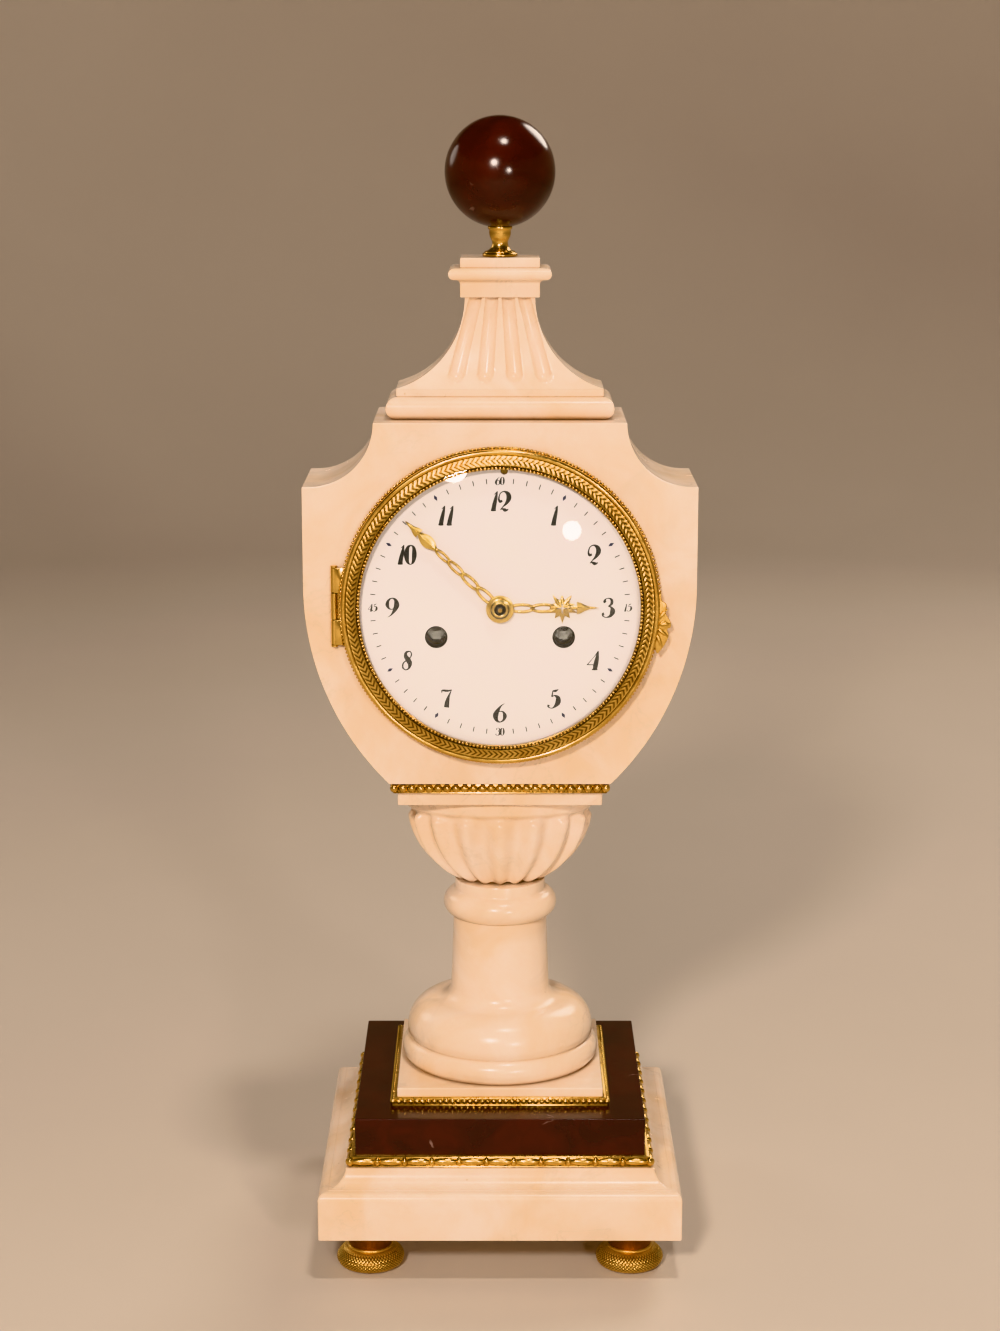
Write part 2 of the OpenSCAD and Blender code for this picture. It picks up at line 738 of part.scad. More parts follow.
// Gilt stem: stepped foot, bell-shaped body and a cup under the ball
module finial_stem() {
    flare_r = stem_foot_r - stem_waist_r - 0.9;
    neck_z = 2.2 + flare_r;
    color(gilt) translate([0, 0, z_stem]) difference() {
        rotate_extrude() difference() {
            union() {
                square([stem_foot_r, 1.4]);
                square([stem_foot_r - 0.9, 2.2]);
                difference() {
                    square([stem_foot_r - 0.9, neck_z]);
                    translate([stem_foot_r - 0.9, neck_z]) circle(flare_r);
                }
                polygon([[0, neck_z - eps], [stem_waist_r, neck_z - eps],
                         [stem_waist_r + 0.2, neck_z + 1], [stem_top_r - 0.6, stem_h - 1.4],
                         [stem_top_r, stem_h - 0.8], [stem_top_r, stem_h], [0, stem_h]]);
            }
            translate([-5, -1]) square([5, stem_h + 2]);
        }
        translate([0, 0, stem_h + ball_r - 0.4]) sphere(ball_r);
        translate([0, 0, -1]) rod(2.3, stem_h + 2);
    }
}

module finial_ball() {
    color(griotte) difference() {
        translate([0, 0, z_ball]) sphere(ball_r);
        translate([0, 0, z_ball - ball_r - 1]) rod(2.3, 16);
    }
}

// Lower rod from plinth to case, upper rod from case to ball
module tie_rods() {
    low = z_dial + bore_r - 3.4;
    color(steel) {
        translate([0, 0, z_plinth + 1]) rod(rod_r, z_case + case_floor + 3 - z_plinth);
        translate([0, 0, low]) rod(rod_r, z_stem - low - 0.6);
        translate([0, 0, z_stem - 0.7]) rod(2, z_ball - ball_r + 13 - z_stem);
    }
}

// Fixed ring: flange on the marble, spigot in the bore, middle hinge knuckle and two straps' seats
module seat_ring() {
    difference() {
        union() {
            rod(ring_r, ring_t);
            translate([0, 0, -spigot_len]) rod(spigot_r, spigot_len + eps);
            hinge_leaf(ring_r, 0);
        }
        translate([0, 0, -spigot_len - 1]) rod(spigot_in, spigot_len + ring_t + 2);
        hinge_bore();
        children();
    }
}

// Four screws through the false plate into the front ring
module at_screws(turn) {
    for (a = [45:90:315]) rotate(a + turn) translate([bore_r + 2.6, 0, 0]) children();
}

// Screws on the left and right, on the line of the straps
module at_straps() {
    for (a = [30, 210]) rotate(a) translate([spigot_in - strap_t / 2 - 0.1, 0, 0]) children();
}

// Half width of the middle knuckle
mid_knuckle = hinge_len / 6;

module hinge_bore() {
    translate([hinge_x, -hinge_len, hinge_z]) rotate([-90, 0, 0]) rod(pin_r, 2 * hinge_len);
}

// Knuckle from y = a to y = b with the leaf that joins it to a disc of radius r
module knuckle(a, b, r) {
    root_x = -sqrt(r * r - b * b) + 1.5;
    translate([hinge_x, a, hinge_z]) rotate([-90, 0, 0]) rod(knuckle_r, b - a);
    translate([hinge_x, a, 0.3]) cube([root_x - hinge_x, b - a, 1.3]);
}

module hinge_leaf(r, which) {
    if (which == 0) knuckle(-mid_knuckle, mid_knuckle, r);
    else for (side = [0, 1]) mirror([0, side, 0]) difference() {
        knuckle(mid_knuckle + hinge_gap, hinge_len / 2, r);
        translate([0, 0, -1]) rod(ring_r + 2 * gap, 4);
    }
}

// What a swinging ring leaves free for the fixed knuckle
module knuckle_room() {
    half = mid_knuckle + hinge_gap / 2;
    translate([hinge_x, -half, hinge_z]) rotate([-90, 0, 0]) rod(knuckle_r + gap, 2 * half);
    translate([hinge_x, -half, -1]) cube([ring_r + 4, 2 * half, 1.6 + gap + 1]);
}

module hinge_pin() {
    translate([hinge_x, -hinge_len / 2 - 0.8, hinge_z]) rotate([-90, 0, 0]) {
        rod(pin_r - run, hinge_len + 1.6);
        rod(pin_r + 0.7, 0.8 - run);
        translate([0, 0, hinge_len + 0.8 + run]) rod(pin_r + 0.7, 0.8 - run);
    }
}

module front_ring() {
    color(gilt) on_dial() seat_ring() at_screws(0) translate([0, 0, 0.4]) rod(screw_r, 4);
}

module rear_ring() {
    color(gilt) on_back() seat_ring();
}

module hinge_pins() {
    color(gilt) {
        on_dial() hinge_pin();
        on_back() hinge_pin();
    }
}

// Hinged ring: bead ring outside, polished round, sloped band and inner bead ring
module bezel() {
    lip_z = bezel_depth;
    recess = ring_r + gap;
    color(gilt) on_dial() difference() {
        union() {
            rotate_extrude() difference() {
                union() {
                    polygon([[recess, 0.4], [bezel_r - 0.4, 0.4], [bezel_r - 0.4, 3.2],
                             [bezel_r - 3, 5.2], [bezel_r - 3.6, lip_z - 1.6],
                             [bezel_open_r + 1.6, lip_z], [bezel_open_r, lip_z],
                             [bezel_open_r, glass_z + glass_t + 0.6],
                             [bezel_open_r + 2, glass_z + glass_t + run],
                             [bezel_open_r + 2, dial_front + 0.2], [ring_r - 5, dial_front + 0.2],
                             [ring_r - 5, ring_t + 1.2], [recess, ring_t + 1.2]]);
                    translate([bezel_r - 1.6, 2.9]) circle(1.6);
                    translate([bezel_r - 4.4, lip_z - 3.1]) circle(1.9);
                }
                square([recess, ring_t + gap]);
            }
            hinge_leaf(bezel_r - 1, 1);
        }
        hinge_bore();
        knuckle_room();
    }
}

module bezel_glass() {
    dome(glass, bezel_open_r + 1.8, glass_z, glass_t, glass_dome, true);
}

// Domed disc of edge radius r with its back edge at height z
module dome(tone, r, z, t, rise, front) {
    ball = (r * r + rise * rise) / (2 * rise);
    color(tone) on_dial() translate([0, 0, z]) rotate_extrude() intersection() {
        difference() {
            translate([0, t + rise - ball]) circle(ball, $fn = 720);
            translate([0, rise - ball]) circle(ball, $fn = 720);
        }
        square([r, t + rise + 1]);
    }
}

// Cast thumb-piece: pierced leaf plate on the bezel's edge with a round knob
module bezel_latch() {
    color(gilt) on_dial() difference() {
        translate([bezel_r - 0.9, -6, latch_z]) {
            difference() {
                linear_extrude(1.6) polygon([[-1.6, 13], [0.8, 12.4], [2.4, 8], [2.4, 4], [4.6, 0],
                    [2.6, -4], [2.6, -8], [0.6, -13], [-1.8, -13.8], [-3.6, -9], [-2.2, 0], [-3, 8]]);
                for (y = [-6, 6]) translate([0, y, -1]) rod(0.9, 4);
            }
            translate([1.6, 0, 1.5]) rotate_extrude() intersection() {
                translate([0, 0.4]) circle(1.9);
                square([3, 3]);
            }
        }
        rod(bezel_r - 2, 2 * bezel_depth);
    }
}

module false_plate() {
    color(brass) on_dial() difference() {
        union() {
            translate([0, 0, z_false]) rod(dial_r - 0.2, false_t);
            for (p = post_spots) translate([p[0], p[1], -plate_z - 1.6]) {
                translate([0, 0, mplate_t + 1.6]) rod(2.4, spigot_len + z_false + 0.4);
                rod(1.5, spigot_len + 3);
            }
        }
        translate([0, 0, z_false - 1]) rod(5, false_t + 2);
        for (p = [going_at, strike_at])
            translate([p[0], p[1], z_false - 1]) rod(winding_hole_r + 0.6, false_t + 2);
        at_screws(0) translate([0, 0, 0.4]) rod(screw_r, 4);
    }
}

module dial() {
    r = dial_r;
    color(enamel) on_dial() translate([0, 0, z_enamel]) difference() {
        rotate_extrude() polygon(concat([[0, 0], [r, 0]],
            [for (i = [8:-1:0]) [r * i / 8, dial_t + dial_bulge * (1 - pow(i / 8, 2))]]));
        translate([0, 0, -1]) rod(3.4, 8);
        for (p = [going_at, strike_at]) translate([p[0], p[1], -1]) rod(winding_hole_r, 8);
        translate([1.8, dial_r - 2.2, -1]) rod(1.6, 8);
    }
}

// Flat hand pointing up: a boss, a run of open oval links, then the children's tip
module links(count, start, pitch, w) {
    for (i = [0:count - 1]) translate([0, start + pitch * (i + 0.5)]) difference() {
        scale([w / pitch, 1]) circle(pitch / 2 + 0.2, $fn = 40);
        scale([(w - 1.5) / pitch, 1]) circle(pitch / 2 - 0.7, $fn = 40);
    }
}

module hour_hand() {
    star_y = hour_len * 0.63;
    color(gilt) on_dial() translate([0, 0, hour_z]) rotate(-hour_at) difference() {
        union() {
            linear_extrude(hand_t) {
                circle(4.6);
                translate([-0.6, 0]) square([1.2, hour_len - 3]);
                links(2, 4.4, (star_y - 10) / 2, 4.2);
                difference() {
                    for (a = [0:45:315]) translate([0, star_y]) rotate(a)
                        polygon([[-1.9, 0], [0, 6.2], [1.9, 0]]);
                    translate([0, star_y]) circle(1.4);
                }
                translate([0, star_y]) difference() {
                    circle(3.6);
                    circle(2.4);
                }
                translate([0, star_y + 5.4]) polygon([[0, 0], [1.3, 1.4], [0.7, 3], [3, 4.4],
                    [0, hour_len - star_y - 5.4], [-3, 4.4], [-0.7, 3], [-1.3, 1.4]]);
            }
            translate([0, 0, -hour_z - 1.5]) rod(2.9, hour_z + 1.6);
        }
        translate([0, 0, -hour_z - 4]) rod(2.2, hour_z + 6);
    }
}

module minute_hand() {
    color(gilt) on_dial() translate([0, 0, minute_z]) rotate(-minute_at) difference() {
        linear_extrude(hand_t) {
            circle(3.6);
            translate([-0.5, 0]) square([1, minute_len - 2]);
            links(5, 3.4, (minute_len * 0.62 - 3.4) / 5, 3.6);
            translate([0, minute_len * 0.62]) polygon([[0, -0.6], [1.9, 3], [0.6, 7], [2.2, 9.4],
                [0, minute_len * 0.38], [-2.2, 9.4], [-0.6, 7], [-1.9, 3]]);
        }
        translate([0, 0, -1]) rod(1.3, hand_t + 2);
    }
}

// Stepped collet in front of the minute hand
module hand_collet() {
    color(gilt) on_dial() translate([0, 0, collet_z]) difference() {
        rotate_extrude() {
            square([6, 0.5]);
            square([4.6, 1]);
            square([3.4, 1.8]);
        }
        translate([0, 0, -1]) rod(1.3, 5);
    }
}

module cannon_pinion() {
    tail = spigot_len - 0.5;
    color(brass) on_dial() translate([0, 0, -tail]) difference() {
        union() {
            rod(1.5, tail + minute_z - 0.1);
            rod(1.3, tail + collet_z + 2.4);
            pinion(cannon_teeth, motion_m, bearing(centre_at, minute_at_p), 2.2);
        }
        translate([0, 0, -1]) rod(0.9, tail + collet_z + 4);
    }
}

module minute_wheel() {
    tail = spigot_len - 0.8;
    color(brass) on_dial() translate([minute_at_p[0], minute_at_p[1], -tail]) difference() {
        union() {
            wheel(minute_teeth, motion_m, bearing(minute_at_p, centre_at));
            translate([0, 0, wheel_t - eps])
                pinion(minute_pinion, hour_m, bearing(minute_at_p, centre_at), 4);
        }
        translate([0, 0, -1]) rod(0.8, 8);
    }
}

module hour_wheel() {
    tail = spigot_len - 3.4;
    color(brass) on_dial() translate([0, 0, -tail]) difference() {
        union() {
            linear_extrude(wheel_t) toothed(hour_teeth, hour_m, bearing(centre_at, minute_at_p));
            rod(2.15, tail + hour_z);
        }
        translate([0, 0, -1]) rod(1.6, tail + hour_z + 2);
    }
}

module plate_holes(r) {
    for (p = [inter_at, third_at, escape_at, slow_at, pins_at, lock_at, fly_at])
        translate([p[0], p[1], -1]) rod(r, mplate_t + 2);
}

module plate_blank() {
    difference() {
        rod(plate_r, mplate_t);
        plate_holes(arbor_r - 0.3 + run);
        for (p = [going_at, strike_at])
            translate([p[0], p[1], -1]) rod(winding_arbor_r + run, mplate_t + 2);
        for (p = [centre_at, pallet_at, hammer_at])
            translate([p[0], p[1], -1]) rod(arbor_r + run, mplate_t + 2);
        for (p = pillar_spots) translate([p[0], p[1], -1]) rod(pillar_r - 1, mplate_t + 2);
    }
}

module front_plate() {
    color(brass) inside([0, 0], spigot_len) difference() {
        union() {
            plate_blank();
            translate([minute_at_p[0], minute_at_p[1], -5.6]) rod(0.8 - run, 5.6 + eps);
        }
        for (p = post_spots) translate([p[0], p[1], -1]) rod(1.5, mplate_t + 2);
    }
}

module back_plate() {
    color(brass) inside([0, 0], back_z) plate_blank();
}

module pillars() {
    color(brass) for (p = pillar_spots) inside(p, spigot_len) {
        translate([0, 0, mplate_t]) rod(pillar_r, plate_gap);
        translate([0, 0, -1.2]) rod(pillar_r - 1, plate_gap + 2 * mplate_t + 2.4);
    }
}

// Screws of the false plate and the straps, and the nuts of the pillars
module fasteners() {
    h = 1.2;
    color(steel) on_dial() at_screws(0) translate([0, 0, 0.4]) rod(screw_r, ring_t + false_t - 0.4);
    color(steel) on_back() at_straps() {
        translate([0, 0, -spigot_len]) rod(screw_r, spigot_len + ring_t);
        translate([0, 0, ring_t]) rod(screw_r + 1.2, 1.1);
    }
    color(steel) for (p = pillar_spots) for (z = [spigot_len - h, back_z + mplate_t])
        inside(p, z) difference() {
            cylinder(r = pillar_r + 0.6, h = h, $fn = 6);
            translate([0, 0, -1]) rod(pillar_r - 1, h + 2);
        }
}

// Depths between the plates, from the front plate's back
great_z = 4;
drum_z = 6.6;

// Spring barrel: great wheel, drum with cap, bored for its arbor
module barrel(p, to) {
    color(brass) inside(p, plate_z + great_z) difference() {
        union() {
            linear_extrude(2) toothed(barrel_teeth, barrel_m, bearing(p, to));
            rod(barrel_r, drum_z - great_z + barrel_len);
            translate([0, 0, -1.4]) rod(4.6, 2);
        }
        translate([0, 0, 2.6]) difference() {
            rod(barrel_r - 1.2, barrel_len - 1.8);
            translate([0, 0, -1]) rod(4.8, barrel_len + 1);
        }
        translate([0, 0, -3]) rod(winding_arbor_r + run, barrel_len + 10);
    }
}

module going_barrel() {
    barrel(going_at, inter_at);
}

module strike_barrel() {
    barrel(strike_at, slow_at);
}

// Winding arbor with its square end behind the dial and a ratchet on the front plate
module winding_arbor(p) {
    front = 1.4;
    side = winding_arbor_r * sqrt(2) - 0.2;
    color(steel) inside(p, 0) {
        translate([-side / 2, -side / 2, -front]) cube([side, side, spigot_len + front - 3]);
        translate([0, 0, spigot_len - 4]) rod(winding_arbor_r, 4 + mplate_t + plate_gap + 1.6);
        translate([0, 0, spigot_len - 2]) linear_extrude(1.4) ratchet_outline();
    }
}

ratchet_r = 8;
ratchet_teeth = 18;
module ratchet_outline() {
    step = 360 / ratchet_teeth;
    polygon([for (i = [0:ratchet_teeth - 1], k = [0, 1])
        (ratchet_r - (k == 0 ? 0 : 1.2)) * ray(step * (i + 0.12 * k))]);
}

module going_winding_arbor() {
    winding_arbor(going_at);
}

module strike_winding_arbor() {
    winding_arbor(strike_at);
}

// Clicks beside the ratchets, each on its shouldered screw
module clicks() {
    color(steel) for (p = [going_at, strike_at]) let (side = sign(p[0]))
        inside([p[0], p[1] - ratchet_r - 3.4], spigot_len) {
            mirror([0, 0, 1]) linear_extrude(1.4) {
                circle(2.2);
                polygon([[side * 1.6, -1], [side * 1.4, 1.6], [side * -6, 2.4], [side * -6.6, 1.2]]);
            }
            mirror([0, 0, 1]) rod(1.4, 2.2);
        }
}

// A wheel and a pinion on one arbor, with their depths from the front plate
module train(p, teeth, m, to_next, wheel_depth, leaves, pm, from_last, pinion_depth, pinion_len) {
    color(brass) inside(p, plate_z) {
        train_arbor();
        translate([0, 0, wheel_depth]) wheel(teeth, m, bearing(p, to_next));
        translate([0, 0, pinion_depth]) pinion(leaves, pm, bearing(p, from_last), pinion_len);
    }
}

module intermediate_wheel() {
    train(inter_at, inter_teeth, inter_m, centre_at, slow_layer, slow_pinion, barrel_m, going_at, 3,
        4);
}

// The centre arbor carries the cannon pinion on its long front end
module centre_wheel() {
    color(brass) inside(centre_at, 0) {
        translate([0, 0, -collet_z - 3.2]) rod(0.9, collet_z + 3.2 + plate_z);
        translate([0, 0, spigot_len + 0.1]) rod(arbor_r, mplate_t + plate_gap + 1.8);
        translate([0, 0, plate_z + 10]) wheel(centre_teeth, centre_m, bearing(centre_at, third_at));
        translate([0, 0, plate_z + slow_layer - 1])
            pinion(centre_pinion, inter_m, bearing(centre_at, inter_at), 4);
    }
}

module third_wheel() {
    train(third_at, third_teeth, third_m, escape_at, third_layer, third_pinion, centre_m, centre_at, 9,
        4);
}

module escape_wheel() {
    step = 360 / escape_teeth;
    color(brass) inside(escape_at, plate_z) {
        train_arbor();
        translate([0, 0, third_layer - 1]) pinion(escape_pinion, third_m, bearing(escape_at, third_at), 4);
        translate([0, 0, escape_layer]) linear_extrude(0.9) difference() {
            polygon([for (i = [0:escape_teeth - 1], k = [0:2])
                (k == 0 ? escape_r : escape_r - 1.3) * ray(step * (i + [0, 0.1, 0.75][k]))]);
            difference() {
                circle(escape_r - 2.2);
                circle(2.2);
                for (a = [0, 90]) rotate(a) square([2 * escape_r, 1.2], center = true);
            }
        }
    }
}

// Anchor, arbor and crutch in one piece; the crutch's fork holds the pendulum rod
module pallets() {
    drop = 25;
    reach_r = norm(pallet_at - escape_at);
    fork_z = pendulum_z - plate_z;
    color(steel) inside(pallet_at, plate_z) {
        translate([0, 0, 0.2]) rod(arbor_r, back_z - plate_z + mplate_t + 2);
        translate([0, 0, -mplate_t]) rod(arbor_r - 0.3, mplate_t + 1);
        translate([0, 0, escape_layer - 0.4]) linear_extrude(1.8) {
            circle(2.2);
            difference() {
                intersection() {
                    translate([0, -reach_r]) circle(escape_r + 2.2);
                    translate([-7.2, -reach_r + 2]) square([14.4, 12]);
                }
                translate([0, -reach_r]) circle(escape_r + 0.8);
            }
            translate([-0.8, escape_r + 1.2 - reach_r]) square([1.6, reach_r - escape_r - 1.2]);
        }
        translate([0, 0, back_z - plate_z + mplate_t + 0.4]) {
            linear_extrude(1) {
                circle(2.2);
                translate([-0.6, -drop]) square([1.2, drop]);
            }
            for (side = [-1, 1]) translate([side * 1.7 - 0.5, -drop, 0])
                cube([1, 1.4, fork_z + 1.6 - back_z + plate_z - mplate_t]);
            translate([-2.2, -drop, 0]) cube([4.4, 1.4, 1]);
        }
    }
}

// Bracket on the back plate with the pin from which the pendulum hangs
module suspension_cock() {
    deep = pendulum_z - back_z - mplate_t;
    color(brass) inside(pallet_at, back_z + mplate_t) difference() {
        union() {
            for (side = [-1, 1]) translate([side * 6.4 - 1.4, -1.5, 0]) cube([2.8, 7, deep + 2]);
            translate([-7.8, 3.4, 0]) cube([15.6, 2.1, deep + 2]);
            translate([0, 0, deep - 1.3]) rod(0.7, 3.3);
            translate([-5, -0.7, deep + 1.2]) cube([10, 1.4, 0.8]);
        }
        translate([0, 0, -1]) rod(arbor_r + 0.3, 3.4);
    }
}

module pendulum() {
    color(brass) inside(pallet_at, pendulum_z) {
        difference() {
            union() {
                translate([0, 0, -0.9]) rod(1.9, 1.8);
                translate([0, -1, 0]) rotate([90, 0, 0]) rod(0.7, pendulum_len - 2);
            }
            translate([0, 0, -2]) rod(0.7 + run, 4);
        }
        translate([0, -pendulum_len, 0]) rotate_extrude()
            polygon([[0, -bob_t / 2], [bob_r - 1.4, -bob_t / 2], [bob_r, -bob_t / 4], [bob_r, bob_t / 4],
                     [bob_r - 1.4, bob_t / 2], [0, bob_t / 2]]);
        translate([0, -pendulum_len - bob_r + 0.5, 0]) rotate([90, 0, 0]) rod(1.5, 2);
    }
}

// Second strike wheel with the count wheel on its squared rear end
module count_wheel() {
    count_r = 14;
    train(slow_at, strike_teeth, strike_m, pins_at, slow_layer, slow_pinion, barrel_m, strike_at, 3, 4);
    color(brass) inside(slow_at, back_z + mplate_t - eps) {
        rod(arbor_r - 0.3, 1.8);
        translate([0, 0, 0.7]) linear_extrude(1) difference() {
            circle(count_r);
            for (i = [1:11]) rotate(-2 * i * (i + 3)) translate([0, count_r]) square([1.8, 3], center = true);
            for (a = [0:72:288]) rotate(a) translate([0, 7.4]) circle(3);
        }
    }
}

module pin_wheel() {
    train(pins_at, pin_teeth, pin_m, lock_at, pins_layer, pin_pinion, strike_m, slow_at, slow_layer - 1,
        4);
    color(steel) inside(pins_at, plate_z + pins_layer + wheel_t - eps)
        for (i = [0:7]) rotate(45 * i) translate([hammer_pin_r, 0, 0]) rod(0.4, 2);
}

module locking_wheel() {
    train(lock_at, lock_teeth, lock_m, fly_at, lock_layer, lock_pinion, pin_m, pins_at,
        pins_layer - 1.4, 4);
}

module fly() {
    color(brass) inside(fly_at, plate_z) {
        train_arbor();
        translate([0, 0, lock_layer - 1.4]) pinion(fly_pinion, lock_m, bearing(fly_at, lock_at), 4);
        translate([-4.6, -0.3, 13]) cube([9.2, 0.6, 16]);
    }
}

// Hammer on its arbor, its head beside the bell's rim
hammer_head = (bell_r + 4.6) * ray(200);
module hammer() {
    arm = hammer_head - hammer_at;
    tail = bell_z - plate_z + 2;
    color(steel) inside(hammer_at, plate_z) {
        translate([0, 0, -mplate_t]) rod(arbor_r - 0.1, mplate_t + 1);
        translate([0, 0, 0.2]) rod(arbor_r, tail + 1);
        translate([0, 0, tail]) {
            rod(2, 1.4);
            rotate(atan2(arm[1], arm[0])) translate([0, -0.7, 0]) cube([norm(arm), 1.4, 1.4]);
            translate([arm[0], arm[1], -0.8]) rod(2.2, 3.6);
        }
        rotate(110) translate([0, -0.7, 27]) cube([10, 1.4, 1.4]);
    }
}

// Bell and the bent stand that carries it from the back plate
module bell() {
    ball = (bell_r * bell_r + bell_d * bell_d) / (2 * bell_d);
    color(gilt) inside([0, 0], bell_z) difference() {
        rotate_extrude() intersection() {
            difference() {
                translate([0, bell_d - ball]) circle(ball, $fn = 360);
                translate([0, bell_d - ball]) circle(ball - 1.4, $fn = 360);
            }
            square([bell_r, bell_d + 1]);
        }
        rod(1.5, bell_d + 2);
    }
}

module bell_stand() {
    foot = [14, -14];
    stand_z = back_z + mplate_t;
    arm_z = bell_z + 3;
    color(steel) inside([0, 0], 0) {
        translate([foot[0], foot[1], stand_z]) rod(4, 1.6);
        translate([foot[0], foot[1], stand_z]) rod(1.8, arm_z - stand_z + 2);
        translate([0, 0, arm_z]) rotate(-45) translate([0, -1.5, 0]) cube([norm(foot), 3, 2]);
        translate([0, 0, arm_z]) rod(3, bell_z + bell_d - 1.6 - arm_z);
        translate([0, 0, arm_z]) rod(1.5, bell_z + bell_d + 2.2 - arm_z);
        translate([0, 0, bell_z + bell_d]) difference() {
            cylinder(r = 3.2, h = 1.8, $fn = 6);
            rod(1.5, 3);
        }
    }
}

// Glazed rear door: drum-shaped ring hinged on the fixed rear ring
module rear_door() {
    recess = ring_r + gap;
    color(gilt) on_back() difference() {
        union() {
            rotate_extrude() polygon([[recess, 0.4], [bezel_r, 0.4], [bezel_r, 3.4],
                [bezel_r - 8, 4.6], [bezel_r - 8, door_depth], [bell_r + 8, door_depth],
                [bell_r + 8, door_depth - 3], [bell_r + 10, door_depth - 3], [bell_r + 10, door_depth - 1.2],
                [bezel_r - 9.2, door_depth - 1.2], [bezel_r - 9.2, ring_t + 1.2],
                [recess, ring_t + 1.2]]);
            hinge_leaf(bezel_r - 1, 1);
            translate([bezel_r - 1, -4, 1]) cube([4, 8, 2]);
        }
        hinge_bore();
        knuckle_room();
    }
}

module rear_glass() {
    color(glass) on_back() translate([0, 0, door_depth - 3]) rod(bell_r + 8 - run, 1.6);
}

// Two brass straps from the front ring to the rear ring, bent inwards under the rear screws
module straps() {
    r = spigot_in - 0.1;
    color(brass) for (a = [150, 330]) inside([0, 0], 0.2) rotate(a - 7) difference() {
        rotate_extrude(angle = 14) translate([r - strap_t, 0]) square([strap_t, rear_face - 0.4]);
        rotate(7) translate([r - strap_t / 2, 0, rear_face - spigot_len - 1]) rod(screw_r, spigot_len + 2);
    }
}

translate([-foot_x, -foot_x, 0]) foot();  // foot_front_left
translate([foot_x, -foot_x, 0]) foot();  // foot_front_right
translate([-foot_x, foot_x, 0]) foot();  // foot_rear_left
translate([foot_x, foot_x, 0]) foot();  // foot_rear_right
plinth();
lower_beading();
griotte_block();
upper_beading();
column_plate();
column();
bowl();
bowl_slab();
case_beading();
tie_rods();
tie_rod_nuts();
case();
pediment();
pediment_cap();
finial_stem();
finial_ball();
front_ring();
bezel();
bezel_latch();
bezel_glass();
hinge_pins();
false_plate();
dial();
minute_hand();
hour_hand();
hand_collet();
cannon_pinion();
minute_wheel();
hour_wheel();
front_plate();
back_plate();
pillars();
fasteners();
straps();
going_barrel();
strike_barrel();
going_winding_arbor();
strike_winding_arbor();
clicks();
intermediate_wheel();
centre_wheel();
third_wheel();
escape_wheel();
pallets();
suspension_cock();
pendulum();
count_wheel();
pin_wheel();
locking_wheel();
fly();
hammer();
bell();
bell_stand();
rear_ring();
rear_door();
rear_glass();
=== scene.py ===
import math

import bmesh
import bpy
from bpy.props import FloatProperty, FloatVectorProperty, IntProperty, PointerProperty
from mathutils import Matrix, Vector


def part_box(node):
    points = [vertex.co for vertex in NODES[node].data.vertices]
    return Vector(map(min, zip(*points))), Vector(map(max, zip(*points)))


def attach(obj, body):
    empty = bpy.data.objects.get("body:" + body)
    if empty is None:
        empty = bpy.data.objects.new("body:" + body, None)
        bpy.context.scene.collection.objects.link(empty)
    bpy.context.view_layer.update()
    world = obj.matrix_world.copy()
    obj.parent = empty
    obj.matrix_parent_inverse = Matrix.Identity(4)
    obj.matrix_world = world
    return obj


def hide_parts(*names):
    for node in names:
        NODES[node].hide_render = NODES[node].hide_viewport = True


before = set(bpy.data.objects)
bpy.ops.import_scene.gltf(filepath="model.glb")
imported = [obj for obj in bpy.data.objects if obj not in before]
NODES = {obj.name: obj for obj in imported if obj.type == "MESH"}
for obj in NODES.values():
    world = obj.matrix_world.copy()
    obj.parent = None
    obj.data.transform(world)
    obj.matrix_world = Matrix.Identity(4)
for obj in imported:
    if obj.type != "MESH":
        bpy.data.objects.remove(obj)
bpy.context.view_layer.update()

bl_info = {
    "name": "Urn clock",
    "version": (1, 0, 0),
    "blender": (4, 5, 0),
    "location": "3D View > Sidebar > Urn clock",
    "description": "Dresses the frame of a marble and gilt urn clock",
    "category": "Add Mesh",
}

MM = 0.001
CAMERA_AT = (0.0, -1.176, 0.5146)       # metres
LAMPS_AIM = Vector((0.0, 0.0, 0.28))    # metres
SLANT = 1.9        # strokes by which the herringbone runs ahead from the band's middle to its edge
KNURL_ROWS = 7     # rows of lozenges on a foot
FLUTE_START = 2.9  # millimetres between the roof's foot and the flutes' round lower ends
FLUTE_FOOT_PITCH, FLUTE_TOP_PITCH = 12.4, 6.9    # millimetres between the flutes at the roof's foot and top
WINDING_X, WINDING_Y = 27.5, -12.8               # millimetres from the dial's centre to a winding hole
LINK_RISE = 0.45   # millimetres by which the minute hand's links clear those of the hour hand


# Sizes and colours

def linear(hex_code):
    """Linear RGBA of an sRGB hex colour."""
    parts = [int(hex_code[i:i + 2], 16) / 255 for i in (1, 3, 5)]
    return tuple(p / 12.92 if p <= 0.04045 else ((p + 0.055) / 1.055) ** 2.4 for p in parts) + (1.0,)


def length(name, description, millimetres):
    """Property for a size that is given in millimetres."""
    return FloatProperty(name=name, description=description, default=millimetres * MM, min=0.0,
                         unit="LENGTH", precision=5)


def colour(name, description, hex_code):
    """Property for a colour."""
    return FloatVectorProperty(name=name, description=description, default=linear(hex_code)[:3],
                               size=3, min=0.0, max=1.0, subtype="COLOR")


